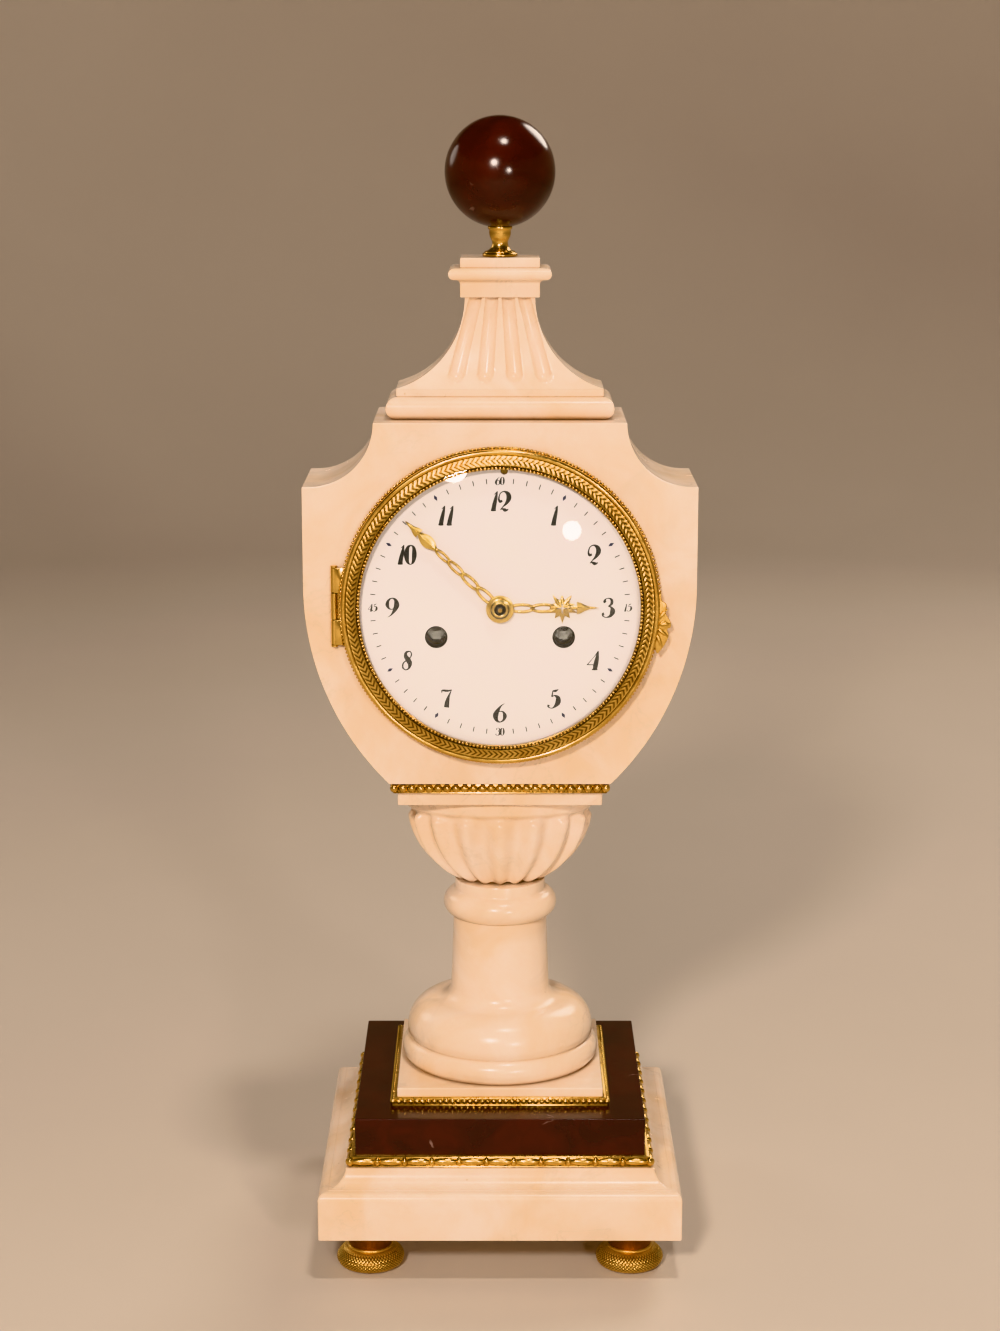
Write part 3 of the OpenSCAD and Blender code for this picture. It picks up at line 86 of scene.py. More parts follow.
class StageSettings(bpy.types.PropertyGroup):
    floor: colour("Floor", "Colour of the floor and its raised rim", "#cbc1b4")
    sky: colour("Room light", "Colour of the light from all round", "#ffeddf")
    key: FloatProperty(name="Key light", description="Power of the lamp at the front left",
                       default=34.0, min=0.0, unit="POWER")
    fill: FloatProperty(name="Fill light", description="Power of the softer light at the front right",
                        default=12.0, min=0.0, unit="POWER")
    lens: FloatProperty(name="Focal length", description="Focal length of the camera", default=73.03,
                        min=20.0, subtype="DISTANCE_CAMERA")
    tilt: FloatProperty(name="Tilt", description="How far the camera looks down",
                        default=math.radians(12.24), subtype="ANGLE")


class StoneSettings(bpy.types.PropertyGroup):
    white: colour("White marble", "Ground of the white marble", "#f1dfce")
    cream: colour("Cream clouds", "Warm clouds in the white marble", "#e9cdac")
    grey: colour("Grey veins", "Faint veins in the white marble", "#a4937f")
    # Colour of the dark pits in the marble, and the colour the hollows are darkened towards as painted shade
    grime: colour("Old wax", "Wax, dust and painted shade in the hollows of the white marble", "#96703f")
    red: colour("Griotte", "Ground of the red marble", "#370e07")
    dark: colour("Griotte shadows", "Dark cells of the red marble", "#280b07")
    vein: colour("Griotte veins", "Sparse calcite veins of the red marble", "#b59a93")
    ease: length("Eased edge", "Radius of the worn edges of the marble", 0.55)


class BaseSettings(bpy.types.PropertyGroup):
    arris: length("Plinth arris", "Radius of the rounded arris", 3.5)
    step: length("Plinth step", "Width of the step over the arris", 0.8)
    face: length("Plinth face", "Height of the upright face", 18.0)
    foot: length("Foot radius", "Radius of a bun foot", 15.0)
    bun: length("Bun height", "Height of the bun under its neck", 9.5)
    neck: length("Neck radius", "Radius of the foot's neck", 11.8)
    knurls: IntProperty(name="Knurls", description="Lozenges round a foot", default=56, min=8)
    knurl_depth: length("Knurl depth", "Depth of the lozenge pattern", 0.5)
    lower_pitch: length("Bead pitch", "Distance between the beads round the block", 11.9)
    upper_pitch: length("Fine bead pitch", "Distance between the beads round the plate", 2.65)
    case_pitch: length("Case bead pitch", "Distance between the beads under the case", 3.87)


class VaseSettings(bpy.types.PropertyGroup):
    lobes: IntProperty(name="Lobes", description="Rounded lobes round the bowl", default=16, min=4)
    lobe_depth: length("Lobe depth", "Depth of the hollows between the lobes", 4.2)
    lobe_top: length("Lobe top", "Radius of the lobes' round upper ends", 6.0)
    band: length("Rim band", "Height of the smooth band at the bowl's rim", 5.6)
    curve: length("Bowl curve", "Radius of the bowl's side", 37.0)
    foot_depth: length("Bowl foot", "Half depth of the bowl's foot", 14.0)
    side: length("Side height", "Height at which the case's upright sides start", 88.0)
    foot: length("Case foot", "Half width of the case's foot", 48.6)
    top: length("Case top", "Half width of the case's top", 54.4)
    scoop: length("Shoulder scoop", "Radius of the scooped shoulders", 27.6)
    bore: length("Bore", "Radius of the bore for dial and movement", 56.0)


class PedimentSettings(bpy.types.PropertyGroup):
    set_in: length("Step", "How far the step over the base moulding is set in", 4.5)
    base: length("Base moulding", "Height of the base moulding", 9.7)
    step: length("Step height", "Height of that step", 3.4)
    roof: length("Roof", "Height of the hollow roof", 38.8)
    top_width: length("Roof top", "Half width of the roof's top", 15.1)
    top_depth: length("Roof top depth", "Half depth of the roof's top", 10.5)
    front: length("Roof front", "Radius of the roof's hollow front", 112.0)
    flutes: IntProperty(name="Flutes", description="Flutes on the roof's front", default=4, min=1)
    flute: length("Flute", "Radius of a flute", 3.5)
    flute_depth: length("Flute depth", "Depth of a flute", 3.2)
    cap_neck: length("Cap neck", "Height of the cap's neck", 5.2)
    cap_cove: length("Cap cove", "Radius of the cove under the cap's moulding", 2.2)
    cap_moulding: length("Cap moulding", "Height of the cap's moulding", 5.0)
    cap_out: length("Cap overhang", "How far the cap's moulding stands out", 5.1)


class GiltSettings(bpy.types.PropertyGroup):
    gold: colour("Gilding", "Colour of the mercury gilding", "#e0bc72")
    worn: colour("Worn gilding", "Colour where the gilding is thin", "#c09750")
    # Colour of the recesses: painted shade from an ambient-occlusion mask and from the engraved and knurled
    # grooves, tinted like old polish and bare bronze
    recess: colour("Recesses", "Old wax and bare bronze, with painted shade, in the recesses", "#4a2c10")
    brass: colour("Brass", "Colour of the movement's brass", "#c9a25a")
    steel: colour("Steel", "Colour of the polished steel", "#a9abb0")
    bell: colour("Bell metal", "Colour of the bell", "#c9b184")


class DialSettings(bpy.types.PropertyGroup):
    enamel: colour("Enamel", "Colour of the enamel", "#f8ebf3")
    paint: colour("Numerals", "Colour of the painted numerals", "#121214")
    blue: colour("Lozenges", "Colour of the lozenges at the five minutes", "#1b1f4e")
    radius: length("Dial radius", "Radius of the enamel dial", 61.4)
    bulge: length("Dial bulge", "How far the dial's centre bulges", 2.2)
    numeral_ring: length("Numeral ring", "Radius of the ring of numerals", 46.4)
    numeral: length("Numeral height", "Height of the hour numerals", 8.4)
    minute_ring: length("Minute ring", "Radius of the ring of minutes", 55.0)
    tick: length("Tick", "Length of a minute tick", 2.3)


class BezelSettings(bpy.types.PropertyGroup):
    radius: length("Outer radius", "Radius of the hinged ring", 69.9)
    opening: length("Opening", "Radius of the ring's clear opening", 60.4)
    depth: length("Depth", "How far the ring stands forward", 10.1)
    inner_beads: IntProperty(name="Inner beads", description="Beads next to the glass", default=236, min=20)
    outer_beads: IntProperty(name="Outer beads", description="Beads on the outer edge", default=256, min=20)
    chevrons: IntProperty(name="Chevrons", description="Strokes of the engine-turned band",
                          default=176, min=20)
    cut: length("Cut", "Depth of the engine turning", 0.4)
    minute_angle: FloatProperty(name="Minute hand", description="Angle of the minute hand past 12",
                                default=math.radians(313.4), subtype="ANGLE")
    hour_angle: FloatProperty(name="Hour hand", description="Angle of the hour hand past 12",
                              default=math.radians(89.5), subtype="ANGLE")
    minute_length: length("Minute hand", "Length of the minute hand", 56.0)
    hour_length: length("Hour hand", "Length of the hour hand", 42.5)


# Node trees

def feed(tree, node, inputs):
    """Gives a node's inputs their values, or links them to outputs of other nodes."""
    for key, value in inputs.items():
        if isinstance(value, bpy.types.NodeSocket):
            tree.links.new(value, node.inputs[key])
        else:
            node.inputs[key].default_value = value
    return node


def add_node(tree, kind, inputs=None, **settings):
    """Adds one node with its settings and inputs."""
    made = tree.nodes.new(kind)
    for key, value in settings.items():
        setattr(made, key, value)
    return feed(tree, made, inputs or {})


def shape_tree(name, **sizes):
    """Starts a Geometry Nodes tree with one input per size and one for the finish; returns it with them."""
    tree = bpy.data.node_groups.new(name, "GeometryNodeTree")
    for label, kind in {"Geometry": "Geometry", **sizes, "Finish": "Material"}.items():
        tree.interface.new_socket(label.replace("_", " "), in_out="INPUT", socket_type=f"NodeSocket{kind}")
    tree.interface.new_socket("Geometry", in_out="OUTPUT", socket_type="NodeSocketGeometry")
    return tree, add_node(tree, "NodeGroupInput").outputs


def end_tree(tree, given, shape, smooth=True):
    """Ends a tree: instances made real, shaded smooth and given their finish."""
    real = add_node(tree, "GeometryNodeRealizeInstances", {"Geometry": shape}).outputs[0]
    if smooth:
        real = add_node(tree, "GeometryNodeSetShadeSmooth", {"Geometry": real}).outputs[0]
    done = add_node(tree, "GeometryNodeSetMaterial",
                    {"Geometry": real, "Material": given["Finish"]}).outputs[0]
    add_node(tree, "NodeGroupOutput", {"Geometry": done})
    return tree


def maths(tree, operation, *values):
    """Result of one Math node."""
    return add_node(tree, "ShaderNodeMath", dict(enumerate(values)), operation=operation).outputs[0]


def product(tree, first, *others):
    """Product of numbers."""
    for other in others:
        first = maths(tree, "MULTIPLY", first, other)
    return first


def plus(tree, first, second):
    """Sum of two numbers."""
    return maths(tree, "ADD", first, second)


def minus(tree, first, second):
    """Difference of two numbers."""
    return maths(tree, "SUBTRACT", first, second)


def vector_maths(tree, operation, inputs):
    """Outputs of one Vector Math node."""
    return add_node(tree, "ShaderNodeVectorMath", inputs, operation=operation).outputs


def saw(tree, value):
    """Triangle wave from 0 to 1 over one unit of value."""
    return product(tree, maths(tree, "PINGPONG", value, 0.5), 2.0)


def run_tree(obj, tree, **sizes):
    """Puts the tree on the object, sets its inputs by identifier and bakes the result."""
    modifier = obj.modifiers.new("Shape", "NODES")
    modifier.node_group = tree
    sockets = {s.name: s.identifier for s in tree.interface.items_tree if s.in_out == "INPUT"}
    for label, value in sizes.items():
        modifier[sockets[label.replace("_", " ")]] = value
    return baked(obj)


def baked(obj):
    """Turns what the modifiers make into the object's own plain mesh."""
    bpy.context.view_layer.update()
    evaluated = obj.evaluated_get(bpy.context.evaluated_depsgraph_get())
    mesh = bpy.data.meshes.new_from_object(evaluated)
    mesh.name = obj.name
    obj.modifiers.clear()
    obj.data = mesh
    return obj


def points_along(tree, given):
    """Evenly spaced points along every line of the input mesh."""
    line = add_node(tree, "GeometryNodeMeshToCurve", {"Mesh": given["Geometry"]})
    return add_node(tree, "GeometryNodeCurveToPoints",
                    {"Curve": line.outputs[0], "Count": given["Count"]}, mode="COUNT").outputs


def path_tree(name, segments=12, rings=8):
    """Beads along every line of the input mesh, drawn out along it by their length."""
    tree, given = shape_tree(name, Count="Int", Radius="Float", Half_length="Float")
    points = points_along(tree, given)
    ball = add_node(tree, "GeometryNodeMeshUVSphere", {"Segments": segments, "Rings": rings, "Radius": 1.0})
    size = add_node(tree, "ShaderNodeCombineXYZ", {"X": given["Radius"],
                    "Y": given["Radius"], "Z": given["Half length"]})
    row = add_node(tree, "GeometryNodeInstanceOnPoints",
                   {"Points": points["Points"], "Instance": ball.outputs["Mesh"],
                    "Rotation": points["Rotation"], "Scale": size.outputs[0]})
    return end_tree(tree, given, row.outputs[0])


def pressed(tree, given, groove):
    """Sinks the surface by the groove's share of the depth, faded by the mesh's measure; ends the tree."""
    depth = product(tree, groove, given["Depth"], field(tree, "fade"))
    normal = add_node(tree, "GeometryNodeInputNormal").outputs[0]
    shift = vector_maths(tree, "SCALE", {0: normal, "Scale": product(tree, depth, -1.0)})[0]
    moved = add_node(tree, "GeometryNodeSetPosition",
                     {"Geometry": given["Geometry"], "Offset": shift}).outputs[0]
    return end_tree(tree, given, moved)


def field(tree, name):
    """A number that the mesh stores on its points."""
    return add_node(tree, "GeometryNodeInputNamedAttribute", {"Name": name}, data_type="FLOAT").outputs[0]


def lobe_tree():
    """Soft ridges side by side, each with a round upper end, parted by hollows."""
    tree, given = shape_tree("Rounded lobes", Lobes="Int", Depth="Float", Top_radius="Float")
    side = saw(tree, product(tree, field(tree, "around"), given["Lobes"]))
    above = maths(tree, "DIVIDE", field(tree, "down"), given["Top radius"])
    above = maths(tree, "MAXIMUM", minus(tree, 1.0, above), 0.0)
    away = plus(tree, product(tree, side, side), product(tree, above, above))
    away = maths(tree, "MINIMUM", away, 1.0)
    wave = maths(tree, "COSINE", product(tree, maths(tree, "SQRT", away), math.pi))
    return pressed(tree, given, product(tree, minus(tree, 1.0, wave), 0.5))


def knurl_wave(tree, read, around, rows):
    """Pattern of the knurled feet, from 0 in its crossed grooves to 1."""
    across = product(tree, read(tree, "around"), around)
    up = product(tree, read(tree, "up"), rows)
    one = saw(tree, plus(tree, across, up))
    two = saw(tree, plus(tree, minus(tree, across, up), 100.0))
    return maths(tree, "MINIMUM", one, two)


def stroke_wave(tree, read, around):
    """Pattern of the engine turning: strokes that change their slant at the middle of the band."""
    across = product(tree, read(tree, "around"), around)
    slant = product(tree, maths(tree, "ABSOLUTE", minus(tree, read(tree, "up"), 0.5)), SLANT)
    return saw(tree, plus(tree, across, slant))


def diaper_tree():
    """Lattice of raised lozenges, as knurled into the bun feet."""
    tree, given = shape_tree("Diaper lattice", Around="Int", Rows="Int", Depth="Float")
    raised = knurl_wave(tree, field, given["Around"], given["Rows"])
    return pressed(tree, given, maths(tree, "POWER", minus(tree, 1.0, raised), 2.0))


def chevron_tree():
    """Herringbone cut into the bezel by engine turning."""
    tree, given = shape_tree("Engine turning", Strokes="Int", Depth="Float")
    return pressed(tree, given, maths(tree, "POWER", stroke_wave(tree, field, given["Strokes"]), 1.5))


def link_tree():
    """Open oval links of round wire along a straight line."""
    tree, given = shape_tree("Chain links", Count="Int", Half_width="Float", Half_length="Float",
                             Wire="Float")
    points = points_along(tree, given)
    oval = add_node(tree, "GeometryNodeCurvePrimitiveCircle", {"Resolution": 28, "Radius": 1.0})
    size = add_node(tree, "ShaderNodeCombineXYZ", {"X": given["Half width"],
                    "Y": given["Half length"], "Z": 1.0})
    oval = add_node(tree, "GeometryNodeTransform", {"Geometry": oval.outputs[0], "Scale": size.outputs[0]})
    wire = add_node(tree, "GeometryNodeCurvePrimitiveCircle", {"Resolution": 10, "Radius": given["Wire"]})
    link = add_node(tree, "GeometryNodeCurveToMesh",
                    {"Curve": oval.outputs[0], "Profile Curve": wire.outputs[0]})
    row = add_node(tree, "GeometryNodeInstanceOnPoints",
                   {"Points": points["Points"], "Instance": link.outputs[0]})
    return end_tree(tree, given, row.outputs[0])


def mark_tree():
    """Painted strokes round a ring, each turned to the ring's centre; every fifth is left out."""
    tree, given = shape_tree("Minute strokes", Count="Int", Size="Vector")
    index = add_node(tree, "GeometryNodeInputIndex").outputs[0]
    fifth = add_node(tree, "FunctionNodeCompare",
                     {0: maths(tree, "MODULO", index, 5.0), 1: 0.5}, operation="LESS_THAN").outputs[0]
    kept = add_node(tree, "GeometryNodeDeleteGeometry",
                    {"Geometry": points_along(tree, given)["Points"], "Selection": fifth})
    stroke = add_node(tree, "GeometryNodeMeshCube", {"Size": given["Size"]})
    place = add_node(tree, "GeometryNodeInputPosition").outputs[0]
    turn = add_node(tree, "FunctionNodeAlignRotationToVector", {"Vector": place}, axis="X", pivot_axis="Z")
    row = add_node(tree, "GeometryNodeInstanceOnPoints",
                   {"Points": kept.outputs[0], "Instance": stroke.outputs["Mesh"],
                    "Rotation": turn.outputs[0]})
    return end_tree(tree, given, row.outputs[0], smooth=False)


# Meshes

def arc(cx, cz, radius, start, end, steps):
    """Points of an arc round (cx, cz), with its angles in degrees."""
    angles = [math.radians(start + (end - start) * i / steps) for i in range(steps + 1)]
    return [(cx + radius * math.cos(a), cz + radius * math.sin(a)) for a in angles]


def eased(points, radius):
    """The line through the points with its sharp corners rounded."""
    pts = [Vector(p) for p in points]
    out = pts[:1]
    for back, here, ahead in zip(pts, pts[1:], pts[2:]):
        back, ahead = back - here, ahead - here
        if min(back.length, ahead.length) < 1e-6 or back.angle(ahead) > math.radians(148):
            out.append(here)
            continue
        cut = min(radius / math.tan(back.angle(ahead) / 2), 0.42 * back.length, 0.42 * ahead.length)
        start, end = here + back.normalized() * cut, here + ahead.normalized() * cut
        out += [(1 - t) ** 2 * start + 2 * t * (1 - t) * here + t * t * end for t in (0, 1 / 3, 2 / 3, 1)]
    return [tuple(p) for p in out + pts[-1:]]


def circle_loop(radius, z, sides):
    """Circle at height z."""
    turns = [2 * math.pi * k / sides for k in range(sides)]
    return [Vector((radius * math.cos(a), radius * math.sin(a), z)) for a in turns]


def rect_loop(hx, hy, radius, z, steps=4):
    """Rectangle with rounded corners at height z."""
    loop = []
    for quarter, (sx, sy) in enumerate(((1, 1), (-1, 1), (-1, -1), (1, -1))):
        for k in range(steps + 1):
            a = math.radians(90 * (quarter + k / steps))
            loop.append(Vector((sx * (hx - radius) + radius * math.cos(a),
                                sy * (hy - radius) + radius * math.sin(a), z)))
    return loop


def loft(loops, ends=True):
    """Skin through loops of equally many points; a loop shrunk to one point is a pole."""
    verts, faces, rows = [], [], []
    for loop in loops:
        pole = all((p - loop[0]).length < 1e-6 for p in loop)
        rows.append([len(verts)] if pole else list(range(len(verts), len(verts) + len(loop))))
        verts += loop[:1] if pole else loop
    for a, b in zip(rows, rows[1:]):
        for k in range(max(len(a), len(b))):
            j = k + 1
            if len(a) == 1:
                faces.append((a[0], b[k], b[j % len(b)]))
            elif len(b) == 1:
                faces.append((a[k], a[j % len(a)], b[0]))
            else:
                faces.append((a[k], a[j % len(a)], b[j % len(b)], b[k]))
    if ends:
        faces += [tuple(row) for row in (rows[0], rows[-1]) if len(row) > 2]
    return verts, faces


def closed_loft(loops):
    """Skin through loops whose last joins the first again."""
    verts, faces = loft(loops, ends=False)
    sides = len(loops[0])
    last = len(verts) - sides
    faces += [(last + k, last + (k + 1) % sides, (k + 1) % sides, k) for k in range(sides)]
    return verts, faces


def ring_loft(profile, sides):
    """Closed profile turned round the Z axis."""
    return closed_loft([circle_loop(r, z, sides) for r, z in profile])


def joined(*shapes):
    """Several (points, faces) as one."""
    verts, faces = [], []
    for some, those in shapes:
        base = len(verts)
        verts += [Vector(p) for p in some]
        faces += [tuple(base + i for i in face) for face in those]
    return verts, faces


def placed(shape, matrix):
    """A shape turned and moved by a matrix."""
    return [matrix @ Vector(p) for p in shape[0]], shape[1]


def linked(name, data):
    """New object with this data, in the scene."""
    obj = bpy.data.objects.new(name, data)
    bpy.context.collection.objects.link(obj)
    return obj


def raw(name, shape, finish, attributes=None):
    """Plain object from points in millimetres, with its doubles merged and its faces outwards."""
    mesh = bpy.data.meshes.new(name)
    mesh.from_pydata([tuple(Vector(p) * MM) for p in shape[0]], [], shape[1])
    for label, values in (attributes or {}).items():
        mesh.attributes.new(label, "FLOAT", "POINT").data.foreach_set("value", values)
    work = bmesh.new()
    work.from_mesh(mesh)
    bmesh.ops.remove_doubles(work, verts=work.verts, dist=1e-6)
    bmesh.ops.dissolve_degenerate(work, edges=work.edges, dist=1e-7)
    bmesh.ops.recalc_face_normals(work, faces=work.faces)
    work.to_mesh(mesh)
    work.free()
    mesh.materials.append(finish)
    return linked(name, mesh)


def line_object(name, points, closed=False):
    """Object that holds only lines, from point to point, in millimetres."""
    mesh = bpy.data.meshes.new(name)
    edges = [(k, (k + 1) % len(points)) for k in range(len(points) if closed else len(points) - 1)]
    mesh.from_pydata([tuple(Vector(p) * MM) for p in points], edges, [])
    return linked(name, mesh)


def dress(obj, body, slot, *stands_for, sharp=40, weighted=False):
    """Shades a finished piece and hands it to the frame."""
    mesh = obj.data
    mesh.polygons.foreach_set("use_smooth", [True] * len(mesh.polygons))
    mesh.set_sharp_from_angle(angle=math.radians(sharp))
    if weighted:
        modifier = obj.modifiers.new("Flat faces", "WEIGHTED_NORMAL")
        modifier.keep_sharp = True
        baked(obj)
    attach(obj, body)
    if stands_for:
        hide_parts(*stands_for)
    return obj


def piece(name, shape, finish, body, slot, *stands_for, **shading):
    """Makes a piece from one shape and hands it to the frame."""
    return dress(raw(name, shape, finish), body, slot, *stands_for, **shading)


def moulding(profile, hx, hy, corner):
    """Solid with the same profile on four sides; the profile holds (stand-out, height)."""
    return loft([rect_loop(hx + out, hy + out, corner, z) for out, z in profile])


def on_dial(depth, angle=0.0):
    """Matrix from a flat drawing (x right, y up, z out) to the dial, turned clockwise by an angle."""
    centre = dial_centre()
    return (Matrix.Translation((centre.x, centre.y - depth, centre.z))
            @ Matrix.Rotation(math.radians(90), 4, "X") @ Matrix.Rotation(-angle, 4, "Z"))


def mm_box(node):
    """Lowest and highest corner of a CAD node in millimetres."""
    lo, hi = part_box(node)
    return lo / MM, hi / MM


def marble(name, shape, node, **shading):
    """Makes a white marble piece of the clock that stands for a CAD node."""
    piece(name, shape, finishes()["Polished_white_marble"], "clock", "white_marble", node, **shading)


def at_dial(*shapes):
    """Drawings as one shape on the dial."""
    return placed(joined(*shapes), on_dial(0.0))


def round_dial(radius, degrees):
    """Place (x, y) on a circle round the dial's centre, clockwise from 12."""
    a = math.radians(degrees)
    return radius * math.sin(a), radius * math.cos(a)


def dial_centre():
    """Centre of the dial on the case's front face, in millimetres."""
    lo, hi = mm_box("dial")
    return Vector((0.0, mm_box("case")[0].y, (lo.z + hi.z) / 2))


def cast(outline, low, high):
    """Plate between two heights with its upper edge rounded."""
    edge = 0.32
    levels = [(edge, low), (0.0, low + edge), (0.0, high - edge), (edge * 0.3, high - edge * 0.3),
              (edge, high)]
    return loft([[Vector((p.x, p.y, z)) for p in shrunk(outline, cut)] for cut, z in levels])


def shrunk(outline, cut):
    """The outline moved inwards by a cut, corner by corner."""
    area = sum(a.x * b.y - a.y * b.x for a, b in zip(outline, outline[1:] + outline[:1]))
    sign = 1 if area > 0 else -1
    moved = []
    for i, p in enumerate(outline):
        a, b = p - outline[i - 1], outline[(i + 1) % len(outline)] - p
        if a.length < 1e-6 or b.length < 1e-6:
            moved.append(p)
            continue
        na, nb = Vector((-a.y, a.x)).normalized() * sign, Vector((-b.y, b.x)).normalized() * sign
        mid = na + nb
        mid = mid.normalized() if mid.length > 1e-4 else na
        moved.append(p + mid * cut / max(0.5, mid.dot(na)))
    return moved


def between(p0, p1, p2, p3, t):
    """Point of the smooth curve from p1 to p2 as t goes from 0 to 1; p0 and p3 set its ends' slopes."""
    return 0.5 * (2 * p1 + (p2 - p0) * t + (2 * p0 - 5 * p1 + 4 * p2 - p3) * t * t
                  + (3 * p1 - p0 - 3 * p2 + p3) * t ** 3)


def rounded(points, steps):
    """Smooth closed line through points."""
    pts = [Vector(p) for p in points[-1:] + points + points[:2]]
    return [between(*pts[i:i + 4], k / steps) for i in range(len(points)) for k in range(steps)]


def open_curve(points, steps=6):
    """Smooth open line through points of any size."""
    pts = [Vector(p) for p in points]
    pts = [2 * pts[0] - pts[1]] + pts + [2 * pts[-1] - pts[-2]]
    return [between(*pts[i:i + 4], k / steps) for i in range(len(pts) - 3) for k in range(steps)] + [pts[-2]]


def held(value):
    """Value kept between 0 and 1."""
    return min(1.0, max(0.0, value))


def tube(points, radii, sides):
    """Round bar along points in space, with its ends drawn in to points."""
    loops = [[points[0]] * sides]
    for i, (p, r) in enumerate(zip(points, radii)):
        ahead = (points[min(i + 1, len(points) - 1)] - points[max(i - 1, 0)]).normalized()
        side = ahead.cross(Vector((0, 0, 1)))
        side = side.normalized() if side.length > 1e-3 else Vector((1, 0, 0))
        up = side.cross(ahead).normalized()
        loops.append([p + q.x * side + q.y * up for q in circle_loop(r, 0.0, sides)])
    return loft(loops + [[points[-1]] * sides], ends=False)


# Finishes

def per_mm(size):
    """Noise scale whose features measure about this many millimetres."""
    return 1.0 / (size * MM)


def rgba(value):
    """Colour property as RGBA."""
    return (*value, 1.0)


def new_finish(name):
    """Material with an empty Principled shader; returns it with its tree, shader and coordinates."""
    finish = bpy.data.materials.new(name)
    finish.use_nodes = True
    tree = finish.node_tree
    tree.nodes.clear()
    shader = add_node(tree, "ShaderNodeBsdfPrincipled")
    add_node(tree, "ShaderNodeOutputMaterial", {"Surface": shader.outputs[0]})
    return finish, tree, shader, add_node(tree, "ShaderNodeTexCoord").outputs["Object"]


def noise(tree, place, size, detail, distortion=0.0, rough=0.55):
    """Noise value whose features measure size millimetres."""
    return add_node(tree, "ShaderNodeTexNoise", {"Vector": place, "Scale": per_mm(size), "Detail": detail,
                    "Distortion": distortion, "Roughness": rough}).outputs["Fac"]


def spread(tree, value, low, high, to_low=0.0, to_high=1.0):
    """Value stretched from one range to another, and kept inside it."""
    return add_node(tree, "ShaderNodeMapRange", {"Value": value, "From Min": low, "From Max": high,
                    "To Min": to_low, "To Max": to_high}).outputs["Result"]


def blend(tree, factor, first, second):
    """Mix of two colours."""
    return add_node(tree, "ShaderNodeMix", {0: factor, 6: first, 7: second}, data_type="RGBA").outputs[2]


def hollow(tree, reach):
    """How deep a point lies in a hollow or corner, from 0 in the open to 1, felt over reach millimetres; an
    ambient-occlusion mask that the finishes use to paint shade into hollows.
    """
    shade = add_node(tree, "ShaderNodeAmbientOcclusion", {"Distance": reach * MM}, samples=6).outputs["AO"]
    return spread(tree, shade, 0.72, 0.2)


def relief(tree, shader, value, depth, strength):
    """Bump of a depth in millimetres."""
    bump = add_node(tree, "ShaderNodeBump", {"Height": value, "Distance": depth * MM, "Strength": strength})
    feed(tree, shader, {"Normal": bump.outputs[0]})


def gloss(tree, place, size, detail, low, high):
    """Roughness that wanders between two values over patches of a size in millimetres."""
    return spread(tree, noise(tree, place, size, detail), 0.3, 0.7, low, high)


def white_marble(s):
    """Polished statuary marble: warm cloudy white, hair-thin grey veins, waxy dirt and painted shade in the
    hollows.
    """
    finish, tree, shader, place = new_finish("Polished_white_marble")
    clouds = spread(tree, noise(tree, place, 42, 6, 0.8), 0.36, 0.66)
    base = blend(tree, clouds, rgba(s.white), rgba(s.cream))
    line = maths(tree, "ABSOLUTE", minus(tree, noise(tree, place, 60, 7, 1.6, 0.62), 0.5))
    patch = spread(tree, noise(tree, place, 90, 2), 0.45, 0.62)
    vein = product(tree, spread(tree, line, 0.0, 0.014, 0.42, 0.0), patch)
    crystals = spread(tree, noise(tree, place, 0.9, 2), 0.3, 0.7, 0.0, 0.10)
    smoke = spread(tree, noise(tree, place, 34, 5, 1.2), 0.56, 0.74, 0.0, 0.3)
    pits = spread(tree, noise(tree, place, 3.2, 1), 0.81, 0.86, 0.0, 0.55)
    # Painted shade: an ambient-occlusion mask darkens the hollows towards the old-dirt colour
    wax_and_shade = product(tree, hollow(tree, 4.0), 0.6)
    for layer, tone in ((vein, s.grey), (crystals, s.cream), (smoke, s.grey), (pits, s.grime),
                        (wax_and_shade, s.grime)):
        base = blend(tree, layer, base, rgba(tone))
    feed(tree, shader, {"Base Color": base, "Roughness": gloss(tree, place, 14, 5, 0.17, 0.28), "IOR": 1.52,
                        "Subsurface Weight": 0.12, "Subsurface Radius": (1.0, 0.75, 0.55),
                        "Subsurface Scale": 2.5 * MM})
    relief(tree, shader, noise(tree, place, 5, 5), 0.06, 0.35)
    return finish


def cell_edges(tree, place, size):
    """Distance to the edges of cells of a size in millimetres."""
    return add_node(tree, "ShaderNodeTexVoronoi", {"Vector": place, "Scale": per_mm(size), "Randomness": 1.0},
                    feature="DISTANCE_TO_EDGE").outputs["Distance"]


